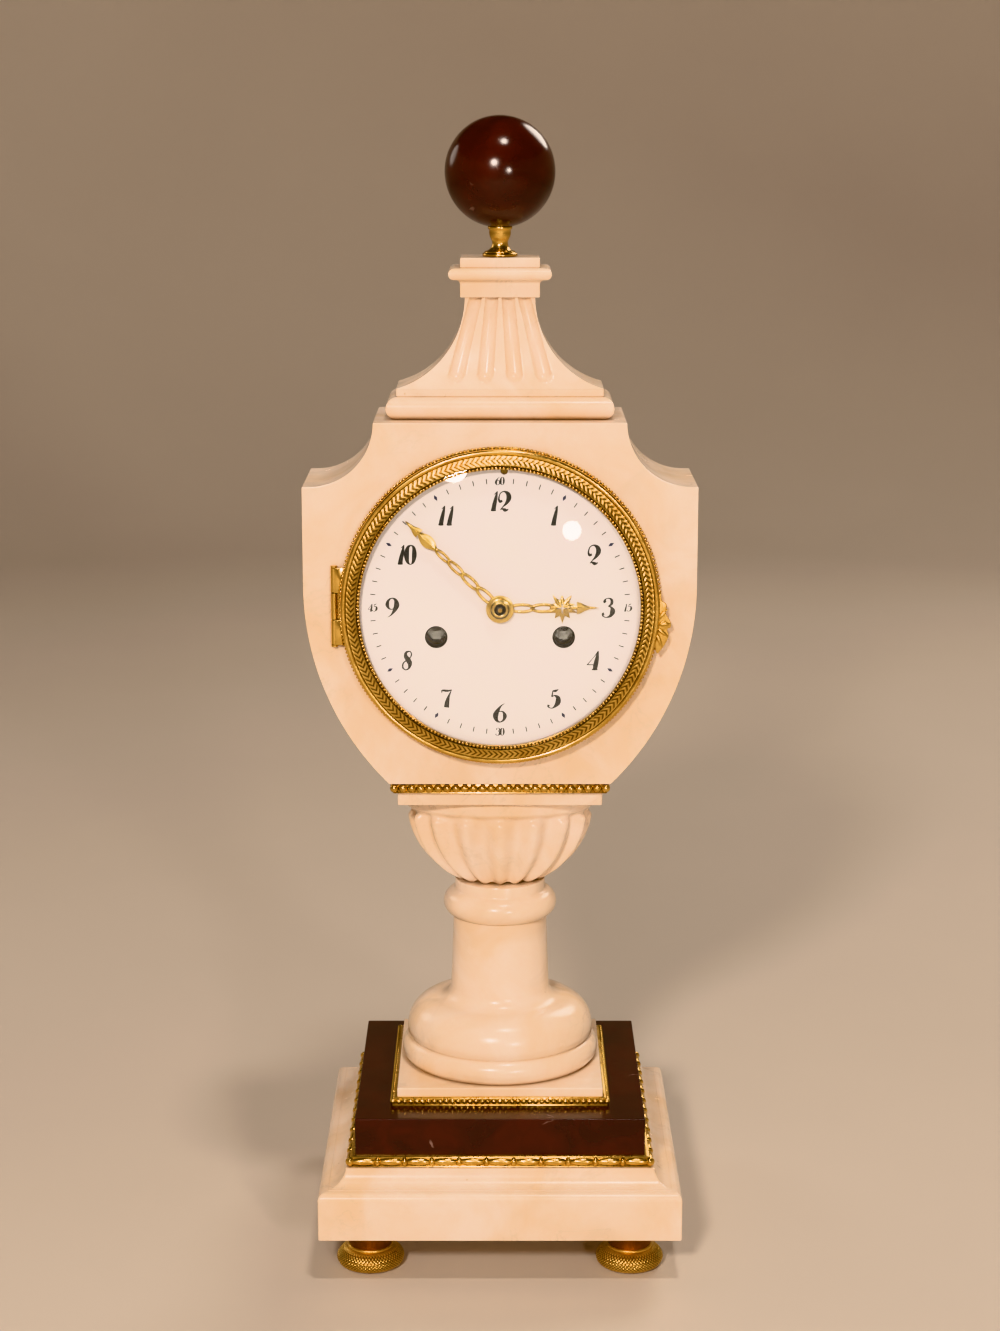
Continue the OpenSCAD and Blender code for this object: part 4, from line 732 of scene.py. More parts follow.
def griotte(s):
    """Polished griotte: wine-red limestone in dark-edged cells, crossed by a few white calcite veins."""
    finish, tree, shader, place = new_finish("Polished_griotte_marble")
    warp = add_node(tree, "ShaderNodeTexNoise", {"Vector": place, "Scale": per_mm(18), "Detail": 4.0})
    bent = vector_maths(tree, "SUBTRACT", {0: warp.outputs["Color"], 1: (0.5, 0.5, 0.5)})[0]
    bent = vector_maths(tree, "SCALE", {0: bent, "Scale": 14 * MM})[0]
    bent = vector_maths(tree, "ADD", {0: place, 1: bent})[0]
    clouds = spread(tree, noise(tree, place, 20, 6, 0.6), 0.36, 0.62)
    base = blend(tree, clouds, rgba(s.dark), rgba(s.red))
    base = blend(tree, spread(tree, cell_edges(tree, bent, 13), 0.0, 0.08, 0.25, 0.0), base, rgba(s.dark))
    width = spread(tree, noise(tree, place, 9, 3), 0.42, 0.72, 0.0, 0.022)
    thin = maths(tree, "GREATER_THAN", minus(tree, width, cell_edges(tree, bent, 34)), 0.0)
    rare = spread(tree, noise(tree, place, 26, 2), 0.58, 0.66)
    base = blend(tree, product(tree, thin, rare, 0.8), base, rgba(s.vein))
    feed(tree, shader, {"Base Color": base, "Roughness": gloss(tree, place, 12, 4, 0.14, 0.24), "IOR": 1.5,
                        "Specular IOR Level": 0.36})
    relief(tree, shader, noise(tree, place, 7, 4), 0.03, 0.3)
    return finish


def mesh_field(tree, name):
    """A number that the piece's mesh stores on its points, for a finish that follows the surface."""
    return add_node(tree, "ShaderNodeAttribute", attribute_name=name).outputs["Fac"]


def herringbone(tree):
    """Wax and painted shade in the strokes of the engine turning, drawn a little wider than real so that it
    shows.
    """
    cut = stroke_wave(tree, mesh_field, bpy.context.scene.urn_bezel.chevrons)
    return product(tree, spread(tree, cut, 0.4, 0.75, 0.0, 0.9), mesh_field(tree, "fade"))


def lattice(tree):
    """Wax and painted shade between the knurled lozenges of the feet."""
    raised = knurl_wave(tree, mesh_field, bpy.context.scene.urn_base.knurls, KNURL_ROWS)
    return product(tree, spread(tree, raised, 0.34, 0.1, 0.0, 0.9), mesh_field(tree, "fade"))


def gilding(name, s, rough, grain, grain_depth, shade_reach, pattern=None):
    """Mercury-gilt bronze: deep yellow gold that wears thin in patches and keeps dark waxy dirt in its
    recesses, with painted shade laid into them as well.
    """
    finish, tree, shader, place = new_finish(name)
    worn = spread(tree, noise(tree, place, 11, 6, 0.4), 0.42, 0.72)
    base = blend(tree, worn, rgba(s.gold), rgba(s.worn))
    # Painted shade: an ambient-occlusion mask darkens the hollows and the gaps between beads towards the dark
    # brown
    base = blend(tree, hollow(tree, shade_reach), base, rgba(s.recess))
    if pattern:
        # Painted shade in the grooves of the engine turning or knurling, drawn as dark brown
        base = blend(tree, pattern(tree), base, rgba(s.recess))
    feed(tree, shader, {"Base Color": base, "Metallic": 1.0,
                        "Roughness": gloss(tree, place, 4, 5, rough, rough + 0.14)})
    relief(tree, shader, noise(tree, place, grain, 3), grain_depth, 0.5)
    return finish


def turned_rings(tree, place, pitch):
    """Wave round the dial's centre with a pitch in millimetres."""
    away = add_node(tree, "ShaderNodeMapping", {"Vector": place, "Location": tuple(-dial_centre() * MM)})
    parts = add_node(tree, "ShaderNodeSeparateXYZ", {"Vector": away.outputs[0]}).outputs
    across = add_node(tree, "ShaderNodeCombineXYZ", {"X": parts["X"], "Z": parts["Z"]}).outputs[0]
    radius = vector_maths(tree, "LENGTH", {0: across})["Value"]
    return maths(tree, "SINE", product(tree, radius, 2 * math.pi / (pitch * MM)))


def worked_metal(name, base, dark, rough, pitch=0.0):
    """Metal of the movement: polished on the wheel or turned, with fine rings where it was turned, and
    painted shade, near black, in its hollows.
    """
    finish, tree, shader, place = new_finish(name)
    stain = spread(tree, noise(tree, place, 9, 5, 0.5), 0.4, 0.75)
    tone = blend(tree, stain, base, dark)
    # Painted shade: an ambient-occlusion mask turns the hollows near black
    tone = blend(tree, hollow(tree, 1.2), tone, (0.02, 0.014, 0.01, 1.0))
    feed(tree, shader, {"Base Color": tone, "Metallic": 1.0,
                        "Roughness": gloss(tree, place, 3, 4, rough, rough + 0.12)})
    if pitch:
        relief(tree, shader, turned_rings(tree, place, pitch), 0.02, 0.35)
    else:
        relief(tree, shader, noise(tree, place, 0.7, 2), 0.02, 0.3)
    return finish


def fired_enamel(s):
    """White enamel fired on copper: glassy gloss over a faint orange peel, pinkish white."""
    finish, tree, shader, place = new_finish("Fired_white_enamel")
    tone = spread(tree, noise(tree, place, 25, 3), 0.35, 0.7, 0.0, 0.25)
    base = blend(tree, tone, rgba(s.enamel), (0.93, 0.86, 0.85, 1.0))
    specks = spread(tree, noise(tree, place, 0.8, 2), 0.72, 0.78, 0.0, 0.35)
    base = blend(tree, specks, base, (0.35, 0.28, 0.24, 1.0))
    feed(tree, shader, {"Base Color": base, "Roughness": gloss(tree, place, 6, 3, 0.07, 0.12), "IOR": 1.54})
    relief(tree, shader, noise(tree, place, 9, 3), 0.05, 0.25)
    return finish


def fired_paint(name, tone):
    """Vitreous paint: brushed on the enamel and fired, a little duller than the enamel, uneven in depth."""
    finish, tree, shader, place = new_finish(name)
    thin = spread(tree, noise(tree, place, 0.9, 4), 0.3, 0.75, 0.0, 0.5)
    feed(tree, shader, {"Base Color": blend(tree, thin, rgba(tone), (0.05, 0.05, 0.06, 1.0)),
                        "Roughness": 0.32})
    relief(tree, shader, noise(tree, place, 0.5, 2), 0.01, 0.3)
    return finish


def clear_glass():
    """Thin blown glass: lets the dial through and adds sharp reflections that grow at the rim."""
    finish, tree, shader, place = new_finish("Clear_domed_glass")
    feed(tree, shader, {"Base Color": linear("#0a0c0b"), "Roughness": 0.02, "IOR": 1.5})
    relief(tree, shader, noise(tree, place, 38, 1), 0.03, 0.2)
    see = add_node(tree, "ShaderNodeBsdfTransparent", {"Color": linear("#f7faf9")})
    both = add_node(tree, "ShaderNodeAddShader", {0: see.outputs[0], 1: shader.outputs[0]})
    output = next(n for n in tree.nodes if n.type == "OUTPUT_MATERIAL")
    feed(tree, output, {"Surface": both.outputs[0]})
    return finish


def finishes():
    """All finishes, made once and kept by name."""
    if "Polished_white_marble" not in bpy.data.materials:
        scene = bpy.context.scene
        stone, gilt, dial = scene.urn_stone, scene.urn_gilt, scene.urn_dial
        white_marble(stone)
        griotte(stone)
        gilding("Burnished_gilt_bronze", gilt, 0.15, 0.6, 0.02, 0.9)
        gilding("Engine_turned_gilt_bronze", gilt, 0.26, 0.35, 0.03, 0.5, herringbone)
        gilding("Knurled_gilt_bronze", gilt, 0.26, 0.35, 0.03, 0.5, lattice)
        gilding("Chased_gilt_bronze", gilt, 0.22, 0.35, 0.04, 0.5)
        gilding("Matt_gilt_bronze", gilt, 0.30, 0.3, 0.05, 0.9)
        # Dark reddish bronze of the feet's necks: partly bare bronze, partly painted shade for the shadow
        # under the plinth
        worked_metal("Aged_bronze_and_shade", linear("#8a5426"), linear("#5c3418"), 0.36)
        worked_metal("Polished_clock_brass", rgba(gilt.brass), linear("#8a6a34"), 0.22)
        worked_metal("Turned_clock_brass", rgba(gilt.brass), linear("#8a6a34"), 0.26, 0.5)
        worked_metal("Polished_steel", rgba(gilt.steel), linear("#6c6f76"), 0.18)
        worked_metal("Blackened_steel", linear("#2a2827"), linear("#141312"), 0.3)
        worked_metal("Turned_bell_metal", rgba(gilt.bell), linear("#7d6a44"), 0.2, 0.9)
        fired_enamel(dial)
        fired_paint("Fired_black_paint", dial.paint)
        fired_paint("Fired_blue_paint", dial.blue)
        clear_glass()
    return bpy.data.materials


# Pieces

def pale_floor(s):
    """Floor that rises far away into a low wall all round, in pale paint."""
    finish, tree, shader, place = new_finish("Pale_painted_floor")
    tone = spread(tree, noise(tree, place, 300, 3), 0.3, 0.7, 0.0, 0.3)
    shade = tuple(0.9 * c for c in s.floor) + (1.0,)
    feed(tree, shader, {"Base Color": blend(tree, tone, rgba(s.floor), shade), "Roughness": 0.7})
    flat_r, bend, rim = 1800.0, 700.0, 1500.0
    side = [(0.0, 0.0), (flat_r, 0.0)] + arc(flat_r, bend, bend, -90, 0, 16)[1:] + [(flat_r + bend, rim)]
    sweep = raw("Floor", loft([circle_loop(r, z, 96) for r, z in side], ends=False), finish)
    sweep.data.polygons.foreach_set("use_smooth", [True] * len(sweep.data.polygons))


def room_light(s):
    """Faint light from all round, stronger from above."""
    world = bpy.data.worlds.new("Room")
    world.use_nodes = True
    room = world.node_tree
    way = add_node(room, "ShaderNodeTexCoord").outputs["Generated"]
    up = add_node(room, "ShaderNodeSeparateXYZ", {"Vector": way}).outputs["Z"]
    high = spread(room, up, -0.05, 0.9, 0.25, 1.0)
    feed(room, room.nodes["Background"], {"Color": blend(room, high, (0.0, 0.0, 0.0, 1.0), rgba(s.sky)),
                                          "Strength": 0.08})
    bpy.context.scene.world = world


class URN_OT_stage(bpy.types.Operator):
    """Makes the camera, the pale floor and the studio light"""
    bl_idname = "urn.stage"
    bl_label = "Stage"

    def execute(self, context):
        s = context.scene.urn_stage
        data = bpy.data.cameras.new("Camera")
        data.lens, data.sensor_width = s.lens, 36.0
        data.clip_start, data.clip_end = 0.05, 20.0
        camera = linked("Camera", data)
        camera.location = CAMERA_AT
        camera.rotation_euler = (math.radians(90) - s.tilt, 0.0, 0.0)
        context.scene.camera = camera
        pale_floor(s)
        room_light(s)
        for name, spot, size, power, tint in (
                ("Key", (-0.4, -1.8, 1.15), 0.24, s.key, "#ffebdc"),
                ("Fill", (0.62, -1.88, 0.62), 0.16, s.fill, "#ffecde"),
                ("Top", (0.15, -0.5, 1.6), 0.18, s.key * 0.24, "#ffeee0"),
                ("Rim", (0.9, 1.3, 1.3), 0.8, s.fill * 1.1, "#fff0e2"),
                ("Side", (-1.3, 0.9, 0.9), 0.6, s.fill * 0.2, "#fff0e2")):
            data = bpy.data.lights.new(name, "AREA")
            data.shape, data.size, data.energy, data.color = "DISK", size, power, linear(tint)[:3]
            lamp = linked(name, data)
            lamp.location = spot
            lamp.rotation_euler = (LAMPS_AIM - Vector(spot)).to_track_quat("-Z", "Y").to_euler()
        view = context.scene.view_settings
        view.view_transform, view.look = "Khronos PBR Neutral", "None"
        view.exposure = 0.0
        return {"FINISHED"}


def square_lines(hx, hy, z):
    """Four sides of a rectangle as (start, end)."""
    corners = [Vector((x * hx, y * hy, z)) for x, y in ((-1, -1), (1, -1), (1, 1), (-1, 1))]
    return list(zip(corners, corners[1:] + corners[:1]))


def join_into(obj, *others):
    """Adds other plain meshes to the object's mesh and removes them."""
    work = bmesh.new()
    work.from_mesh(obj.data)
    for other in others:
        base = len(obj.data.materials)
        for slot in other.data.materials:
            obj.data.materials.append(slot)
        start = len(work.faces)
        work.from_mesh(other.data)
        work.faces.ensure_lookup_table()
        for face in work.faces[start:]:
            face.material_index += base
        bpy.data.objects.remove(other)
    work.to_mesh(obj.data)
    work.free()
    return obj


def foot_profile(r, bun, neck):
    """Section of a bun foot from its sole to its upper fillet, as (radius, height)."""
    swell = open_curve([(r - 5.6, 0.0), (r - 2.6, 0.5), (r - 0.7, 1.9), (r, 3.9), (r - 0.6, 5.8),
                        (r - 2.2, 7.5), (r - 4.3, 8.7)], 5)
    return ([(0.0, 0.0), (r - 7.0, 0.0)] + [tuple(p) for p in swell]
            + [(r - 4.9, bun - 0.55), (r - 4.8, bun - 0.1), (r - 5.0, bun + 0.35), (neck - 2.6, bun + 0.6),
               (0.0, bun + 0.65)])


class URN_OT_feet(bpy.types.Operator):
    """Makes the four bun feet with their knurled sides"""
    bl_idname = "urn.feet"
    bl_label = "Feet"

    def execute(self, context):
        s, shop = context.scene.urn_base, finishes()
        tree, gilt = diaper_tree(), shop["Knurled_gilt_bronze"]
        r, bun, neck = s.foot / MM, s.bun / MM, s.neck / MM
        top = mm_box("plinth")[0].z
        verts, faces = loft([circle_loop(pr, pz, s.knurls * 6) for pr, pz in foot_profile(r, bun, neck)])
        around = [(math.atan2(v.y, v.x) / (2 * math.pi)) % 1.0 for v in verts]
        up = [held(v.z / bun) for v in verts]
        fade = [min(held((v.z - 1.7) / 0.6), held((bun - 1.0 - v.z) / 0.5)) for v in verts]
        # The neck gets the dark bronze finish: painted shade for the shadow under the plinth, on bare bronze
        stem = loft([circle_loop(pr, pz, 64) for pr, pz in
                     ((0.0, bun), (neck - 2.4, bun), (neck - 2.4, bun + 1.4), (neck - 1.7, bun + 2.2),
                      (neck - 1.7, top - 2.6), (neck - 1.2, top - 2.0), (neck - 1.1, top), (0.0, top))],
                      ends=False)
        for node in ("foot_front_left", "foot_front_right", "foot_rear_left", "foot_rear_right"):
            lo, hi = mm_box(node)
            at = Matrix.Translation(((lo.x + hi.x) / 2, (lo.y + hi.y) / 2, 0.0))
            obj = raw(node.title().replace("_", ""), placed((verts, faces), at), gilt,
                      {"around": around, "up": up, "fade": fade})
            run_tree(obj, tree, Around=s.knurls, Rows=KNURL_ROWS, Depth=s.knurl_depth, Finish=gilt)
            join_into(obj, raw("stem", placed(stem, at), shop["Aged_bronze_and_shade"]))
            dress(obj, "clock", "gilt_bronze", node, sharp=50)
        return {"FINISHED"}


def stone_plate(name, node, ease, corner, finish="Polished_white_marble", slot="white_marble"):
    """Flat stone with eased edges that fills its CAD node's box."""
    lo, hi = mm_box(node)
    profile = eased([(-3.0, lo.z), (0.0, lo.z), (0.0, hi.z), (-3.0, hi.z)], ease)
    piece(name, moulding(profile, hi.x, hi.y, corner), finishes()[finish], "clock", slot, node, weighted=True)


class URN_OT_base(bpy.types.Operator):
    """Makes the moulded plinth, the red block and the plate on it"""
    bl_idname = "urn.base"
    bl_label = "Plinth and block"

    def execute(self, context):
        s = context.scene.urn_base
        ease = context.scene.urn_stone.ease / MM
        lo, hi = mm_box("plinth")
        z, arris = lo.z, s.arris / MM
        ledge, inner = z + s.face / MM + arris, -arris - s.step / MM
        cove = hi.z - ledge
        profile = (eased([(-6.0, z), (0.0, z), (0.0, z + 4.0)], ease)
                   + arc(-arris, ledge - arris, arris, 0, 84, 7)
                   + eased([(-arris, ledge), (inner, ledge), (inner - 0.05, ledge + 0.25)], 0.12)[1:]
                   + arc(inner, hi.z, cove, 266, 188, 9)
                   + [(inner - cove + 0.1, hi.z - 0.35), (inner - cove - 0.3, hi.z)])
        marble("Plinth", moulding(profile, hi.x, hi.x, 0.9), "plinth", weighted=True)
        stone_plate("GriotteBlock", "griotte_block", 0.5, 0.6, "Polished_griotte_marble", "griotte_marble")
        stone_plate("ColumnPlate", "column_plate", ease, 0.7)
        return {"FINISHED"}


def strip_band(hx, hy, out, low, high):
    """Flat back of a bead strip, a frame with a low moulded face."""
    mid = (high - low) / 2
    profile = [(0.0, low), (out - mid * 0.75, low), (out - mid * 0.65, low + 0.15),
               (out - mid * 0.7, low + 0.5), (out - mid * 0.95, low + 0.6), (out - mid * 0.95, high - 0.3),
               (out - mid * 1.05, high), (0.0, high)]
    return closed_loft([rect_loop(hx + px, hy + px, 0.25, pz, 1) for px, pz in profile])


class URN_OT_beading(bpy.types.Operator):
    """Makes the three gilt bead strips"""
    bl_idname = "urn.beading"
    bl_label = "Bead strips"

    def execute(self, context):
        s, shop = context.scene.urn_base, finishes()
        tree, gilt = path_tree("Bead row"), shop["Burnished_gilt_bronze"]
        for name, node, inner, pitch, bead_share, reels in (
                ("LowerBeading", "lower_beading", mm_box("griotte_block")[1], s.lower_pitch / MM, 0.92, True),
                ("UpperBeading", "upper_beading", mm_box("column_plate")[1], s.upper_pitch / MM, 0.74, False),
                ("CaseBeading", "case_beading", mm_box("case_beading")[1] - Vector((3.0, 3.0, 0.0)),
                 s.case_pitch / MM, 0.9, False)):
            lo, hi = mm_box(node)
            r = (hi.z - lo.z) / 2
            bead = bead_share * r
            band = raw(name, strip_band(inner.x, inner.y, hi.x - inner.x, lo.z, hi.z),
                       shop["Chased_gilt_bronze"])
            made = []
            for start, end in square_lines(hi.x - bead, hi.y - bead, hi.z - bead - 0.1):
                count = max(2, round((end - start).length / pitch) + 1)
                half = (end - start) / (count - 1) / 2
                rows = [(start, end, count, bead, r * 0.6 if reels else pitch * 0.49)]
                if reels:
                    rows.append((start + half, end - half, count - 1, r * 0.76, half.length * 1.02))
                for first, last, number, radius, reach in rows:
                    made.append(run_tree(line_object("beads", (first, last)), tree, Count=number,
                                         Radius=radius * MM, Half_length=reach * MM, Finish=gilt))
            dress(join_into(band, *made), "clock", "gilt_bronze", node, sharp=50)
        return {"FINISHED"}


class URN_OT_column(bpy.types.Operator):
    """Turns the column foot: torus, cushion, hollow throat, shaft, collar and neck"""
    bl_idname = "urn.column"
    bl_label = "Column"

    def execute(self, context):
        lo, hi = mm_box("column")
        top = hi.z - lo.z
        torus_z, cushion_z = 4.9, 10.6
        cushion_top = cushion_z + 17.3
        shaft_z, collar_z = cushion_top + 6.6, top - 11.1
        profile = ([(0.0, 0.0), (42.0, 0.0)] + arc(38.0, torus_z, 6.5, -45, 66, 14)
                   + [(40.9, cushion_z + 0.2), (41.1, cushion_z + 0.7), (42.0, cushion_z + 1.6)]
                   + arc(29.0, cushion_top - 13.0, 13.0, 0, 88, 16) + arc(28.9, shaft_z, 6.6, 264, 186, 10)
                   + [(22.2 - 0.2 * t, shaft_z + (collar_z - 5.6 - shaft_z) * t / 6) for t in range(1, 7)]
                   + [(20.9, collar_z - 5.3)] + arc(19.4, collar_z, 6.1, -68, 76, 16)
                   + [(20.4, collar_z + 6.2), (20.2, collar_z + 6.7), (20.3, top - 0.4), (20.1, top),
                      (0.0, top)])
        marble("Column", loft([circle_loop(r, lo.z + z, 144) for r, z in profile]), "column", sharp=60)
        return {"FINISHED"}


class URN_OT_bowl(bpy.types.Operator):
    """Makes the gadrooned bowl and the slab on it"""
    bl_idname = "urn.bowl"
    bl_label = "Bowl"

    def execute(self, context):
        s, white = context.scene.urn_vase, finishes()["Polished_white_marble"]
        lo, hi = mm_box("bowl")
        height, rim_x, rim_y = hi.z - lo.z, hi.x, hi.y
        low = height - s.band / MM
        curve, foot_y = s.curve / MM, s.foot_depth / MM
        foot_x = rim_x - curve + math.sqrt(curve ** 2 - low ** 2)
        sides, rows = s.lobes * 22, 52
        levels = [(low * i / rows, 0.0) for i in range(rows + 1)]
        levels += [(low + 0.3, 0.0), (low + 0.9, 0.0), (height - 0.5, 0.0), (height - 0.15, -0.15),
                   (height, -0.5)]
        loops, fade, down = [], [], []
        for h, lip in levels:
            x = rim_x - curve + math.sqrt(curve ** 2 - max(0.0, low - h) ** 2)
            y = foot_y + (rim_y - foot_y) * (x - foot_x) / (rim_x - foot_x)
            loops.append([Vector(((x + lip) * math.cos(a), (y + lip) * math.sin(a), lo.z + h))
                          for a in (2 * math.pi * k / sides - math.pi / 2 for k in range(sides))])
            t = held((low - h) / 4.0)
            fade += [t * t * (3 - 2 * t) * (x / rim_x) ** 1.3] * sides
            down += [max(0.0, low - h) * MM] * sides
        around = [k / sides for _ in levels for k in range(sides)]
        obj = raw("Bowl", loft(loops), white, {"around": around, "fade": fade, "down": down})
        run_tree(obj, lobe_tree(), Lobes=s.lobes, Depth=s.lobe_depth, Top_radius=s.lobe_top, Finish=white)
        dress(obj, "clock", "white_marble", "bowl", sharp=62)
        stone_plate("BowlSlab", "bowl_slab", context.scene.urn_stone.ease / MM, 0.7)
        return {"FINISHED"}


def case_outline(s, height, half):
    """Front outline of the case from its foot, with the scooped shoulders."""
    foot, top, side_z, scoop = s.foot / MM, s.top / MM, s.side / MM, s.scoop / MM
    rise = half - foot
    bend = (rise * rise + side_z * side_z) / (2 * rise)
    right = arc(half - bend, side_z, bend, -math.degrees(math.asin(side_z / bend)), 0, 40)
    right[0] = (foot, 0.0)
    shoulder = height - scoop
    right += [(half, side_z + (shoulder - side_z) * t / 4) for t in (1, 2, 3)]
    right += eased([(half, shoulder - 6.0), (half, shoulder), (top + scoop - 2.0, shoulder)], 0.7)[1:-1]
    right += arc(top + scoop, height, scoop, 270, 180, 24)
    right = eased([(foot - 6.0, 0.0), (foot, 0.0), right[1]], 0.7)[1:-1] + right[1:-1]
    right += eased([right[-1], (top, height), (top - 6.0, height)], 0.7)[1:-1]
    return [Vector(p) for p in right] + [Vector((-x, z)) for x, z in reversed(right)]


class URN_OT_case(bpy.types.Operator):
    """Makes the vase-shaped case with its bore and worn edges"""
    bl_idname = "urn.case"
    bl_label = "Case"

    def execute(self, context):
        s, ease = context.scene.urn_vase, context.scene.urn_stone.ease / MM
        lo, hi = mm_box("case")
        outline = case_outline(s, hi.z - lo.z, hi.x)
        centre, depth = Vector((0.0, dial_centre().z - lo.z)), hi.y
        hole = [centre + (p - centre).normalized() * s.bore / MM for p in outline]
        levels = [(shrunk(outline, cut), y) for cut, y in (
            (ease, -depth), (ease * 0.35, -depth + ease * 0.3), (0.0, -depth + ease),
            (0.0, depth - ease), (ease * 0.35, depth - ease * 0.3), (ease, depth))]
        levels += [(hole, depth), (hole, -depth)]
        loops = [[Vector((p.x, y, lo.z + p.y)) for p in line] for line, y in levels]
        marble("Case", closed_loft(loops), "case", sharp=35, weighted=True)
        return {"FINISHED"}


def fluted(x, h, s):
    """Depth of the flutes at a place on the roof's front; each is round at its foot and narrows upwards."""
    radius, depth, roof_h = s.flute / MM, s.flute_depth / MM, s.roof / MM
    foot = FLUTE_START + radius
    up = max(0.0, (h - foot) / (roof_h - foot))
    slim, pitch = 1.0 - 0.2 * up, FLUTE_FOOT_PITCH + (FLUTE_TOP_PITCH - FLUTE_FOOT_PITCH) * up
    deepest = 0.0
    for n in range(s.flutes):
        away = math.hypot(x - (n - (s.flutes - 1) / 2) * pitch, max(0.0, foot - h)) / slim
        if away < radius:
            deepest = max(deepest, (math.sqrt(radius ** 2 - away ** 2) - (radius - depth)) * slim)
    return deepest


def roof_shape(s, foot_x, foot_y, z):
    """Hollow roof between its foot and its top, with flutes cut into the front."""
    roof_h, top_x, top_y, front_r = s.roof / MM, s.top_width / MM, s.top_depth / MM, s.front / MM
    side_r = ((foot_x - top_x) ** 2 + roof_h ** 2) / (2 * (foot_x - top_x))
    p, q = Vector((top_y, roof_h)), Vector((foot_y, 0.0))
    u = (q - p).normalized()
    centre = (p + q) / 2 + math.sqrt(front_r ** 2 - (q - p).length ** 2 / 4) * Vector((-u.y, u.x))
    rows, columns = 64, 180
    loops = []
    for i in range(rows + 1):
        h = roof_h * i / rows
        x = top_x + side_r - math.sqrt(side_r ** 2 - (roof_h - h) ** 2)
        y = centre.x - math.sqrt(front_r ** 2 - (h - centre.y) ** 2)
        front = [-x + 2 * x * k / columns for k in range(columns + 1)]
        loop = [(px, -y + fluted(px, h, s)) for px in front]
        loop += [(x, -y + 2 * y * k / 8) for k in range(1, 9)]
        loop += [(x - 2 * x * k / 12, y) for k in range(1, 13)]
        loop += [(-x, y - 2 * y * k / 8) for k in range(1, 8)]
        loops.append([Vector((*place, z + h)) for place in loop])
    return loft(loops)


class URN_OT_pediment(bpy.types.Operator):
    """Makes the pediment's moulding, its fluted hollow roof and the cap"""
    bl_idname = "urn.pediment"
    bl_label = "Pediment"

    def execute(self, context):
        s, ease = context.scene.urn_pediment, context.scene.urn_stone.ease / MM
        lo, hi = mm_box("pediment")
        z, r, set_in = lo.z, s.base / MM / 2, s.set_in / MM
        z1 = z + 2 * r
        z2 = z1 + s.step / MM
        profile = ([(-r - 3.0, z), (-r, z)] + arc(-r, z + r, r, -78, 78, 14)
                   + [(-r, z1), (-set_in - 0.35, z1), (-set_in, z1 + 0.3)]
                   + eased([(-set_in, z1 + 0.3), (-set_in, z2), (-set_in - 4.0, z2)], 0.4)[1:])
        marble("PedimentBase", moulding(profile, hi.x, hi.y, 0.8), "pediment", weighted=True)
        marble("PedimentRoof", roof_shape(s, hi.x - set_in, hi.y - set_in, z2), "pediment", sharp=50)

        lo, hi = mm_box("pediment_cap")
        out, neck_z = s.cap_out / MM, lo.z + s.cap_neck / MM
        cove, r = s.cap_cove / MM, s.cap_moulding / MM / 2
        swell = neck_z + cove
        top = swell + 2 * r
        profile = ([(-out - 3, lo.z), (-out, lo.z), (-out, neck_z - 0.3)]
                   + arc(cove - out, neck_z, cove, 176, 92, 7)
                   + [(-r - 0.4, swell)] + arc(-r, swell + r, r, -80, 80, 12)
                   + [(-r - 0.2, top), (-out - 0.3, top), (-out, top + 0.3)]
                   + eased([(-out, top + 0.3), (-out, hi.z), (-out - 5, hi.z)], ease)[1:])
        marble("PedimentCap", moulding(profile, hi.x, hi.y, 0.6), "pediment_cap", weighted=True)
        return {"FINISHED"}


class URN_OT_finial(bpy.types.Operator):
    """Turns the gilt stem and the red ball"""
    bl_idname = "urn.finial"
    bl_label = "Finial"

    def execute(self, context):
        shop = finishes()
        z = mm_box("finial_stem")[0].z
        lo, hi = mm_box("finial_ball")
        r, h = (hi.x - lo.x) / 2, lo.z + 0.4 - z
        profile = [(0.0, 0.0), (7.4, 0.0), (7.6, 0.25), (7.6, 1.15), (7.35, 1.4), (6.9, 1.5), (6.7, 1.8),
                   (6.7, 2.1), (6.4, 2.3), (5.3, 2.6), (4.4, 3.2), (3.8, 4.1), (3.45, 5.3), (3.45, 6.3),
                   (3.9, 7.2), (4.5, 8.6), (4.75, 10.0), (4.7, h - 1.6), (4.9, h - 1.3), (5.3, h - 0.8),
                   (5.3, h - 0.1), (5.0, h + 0.25), (0.0, h + 0.25)]
        piece("FinialStem", loft([circle_loop(a, z + b, 72) for a, b in profile]),
              shop["Burnished_gilt_bronze"], "clock", "gilt_bronze", "finial_stem", sharp=55)
        ball = loft([circle_loop(a, b, 128) for a, b in arc(0.0, hi.z - r, r, -90, 90, 64)], ends=False)
        piece("FinialBall", ball, shop["Polished_griotte_marble"], "clock", "griotte_marble", "finial_ball",
              sharp=80)
        return {"FINISHED"}


def onto(obj, depth, angle=0.0):
    """Moves a finished drawing from the plane to the dial."""
    matrix = on_dial(depth, angle)
    matrix.translation *= MM
    obj.data.transform(matrix)
    return obj


def bead_ring(tree, radius, depth, count, bead, finish):
    """Ring of small beads at a depth over the case's face."""
    ring = line_object("beads", circle_loop(radius, 0.0, 360), closed=True)
    half = math.pi * radius / count * 0.84
    run_tree(ring, tree, Count=count, Radius=bead * MM, Half_length=half * MM, Finish=finish)
    return onto(ring, depth)


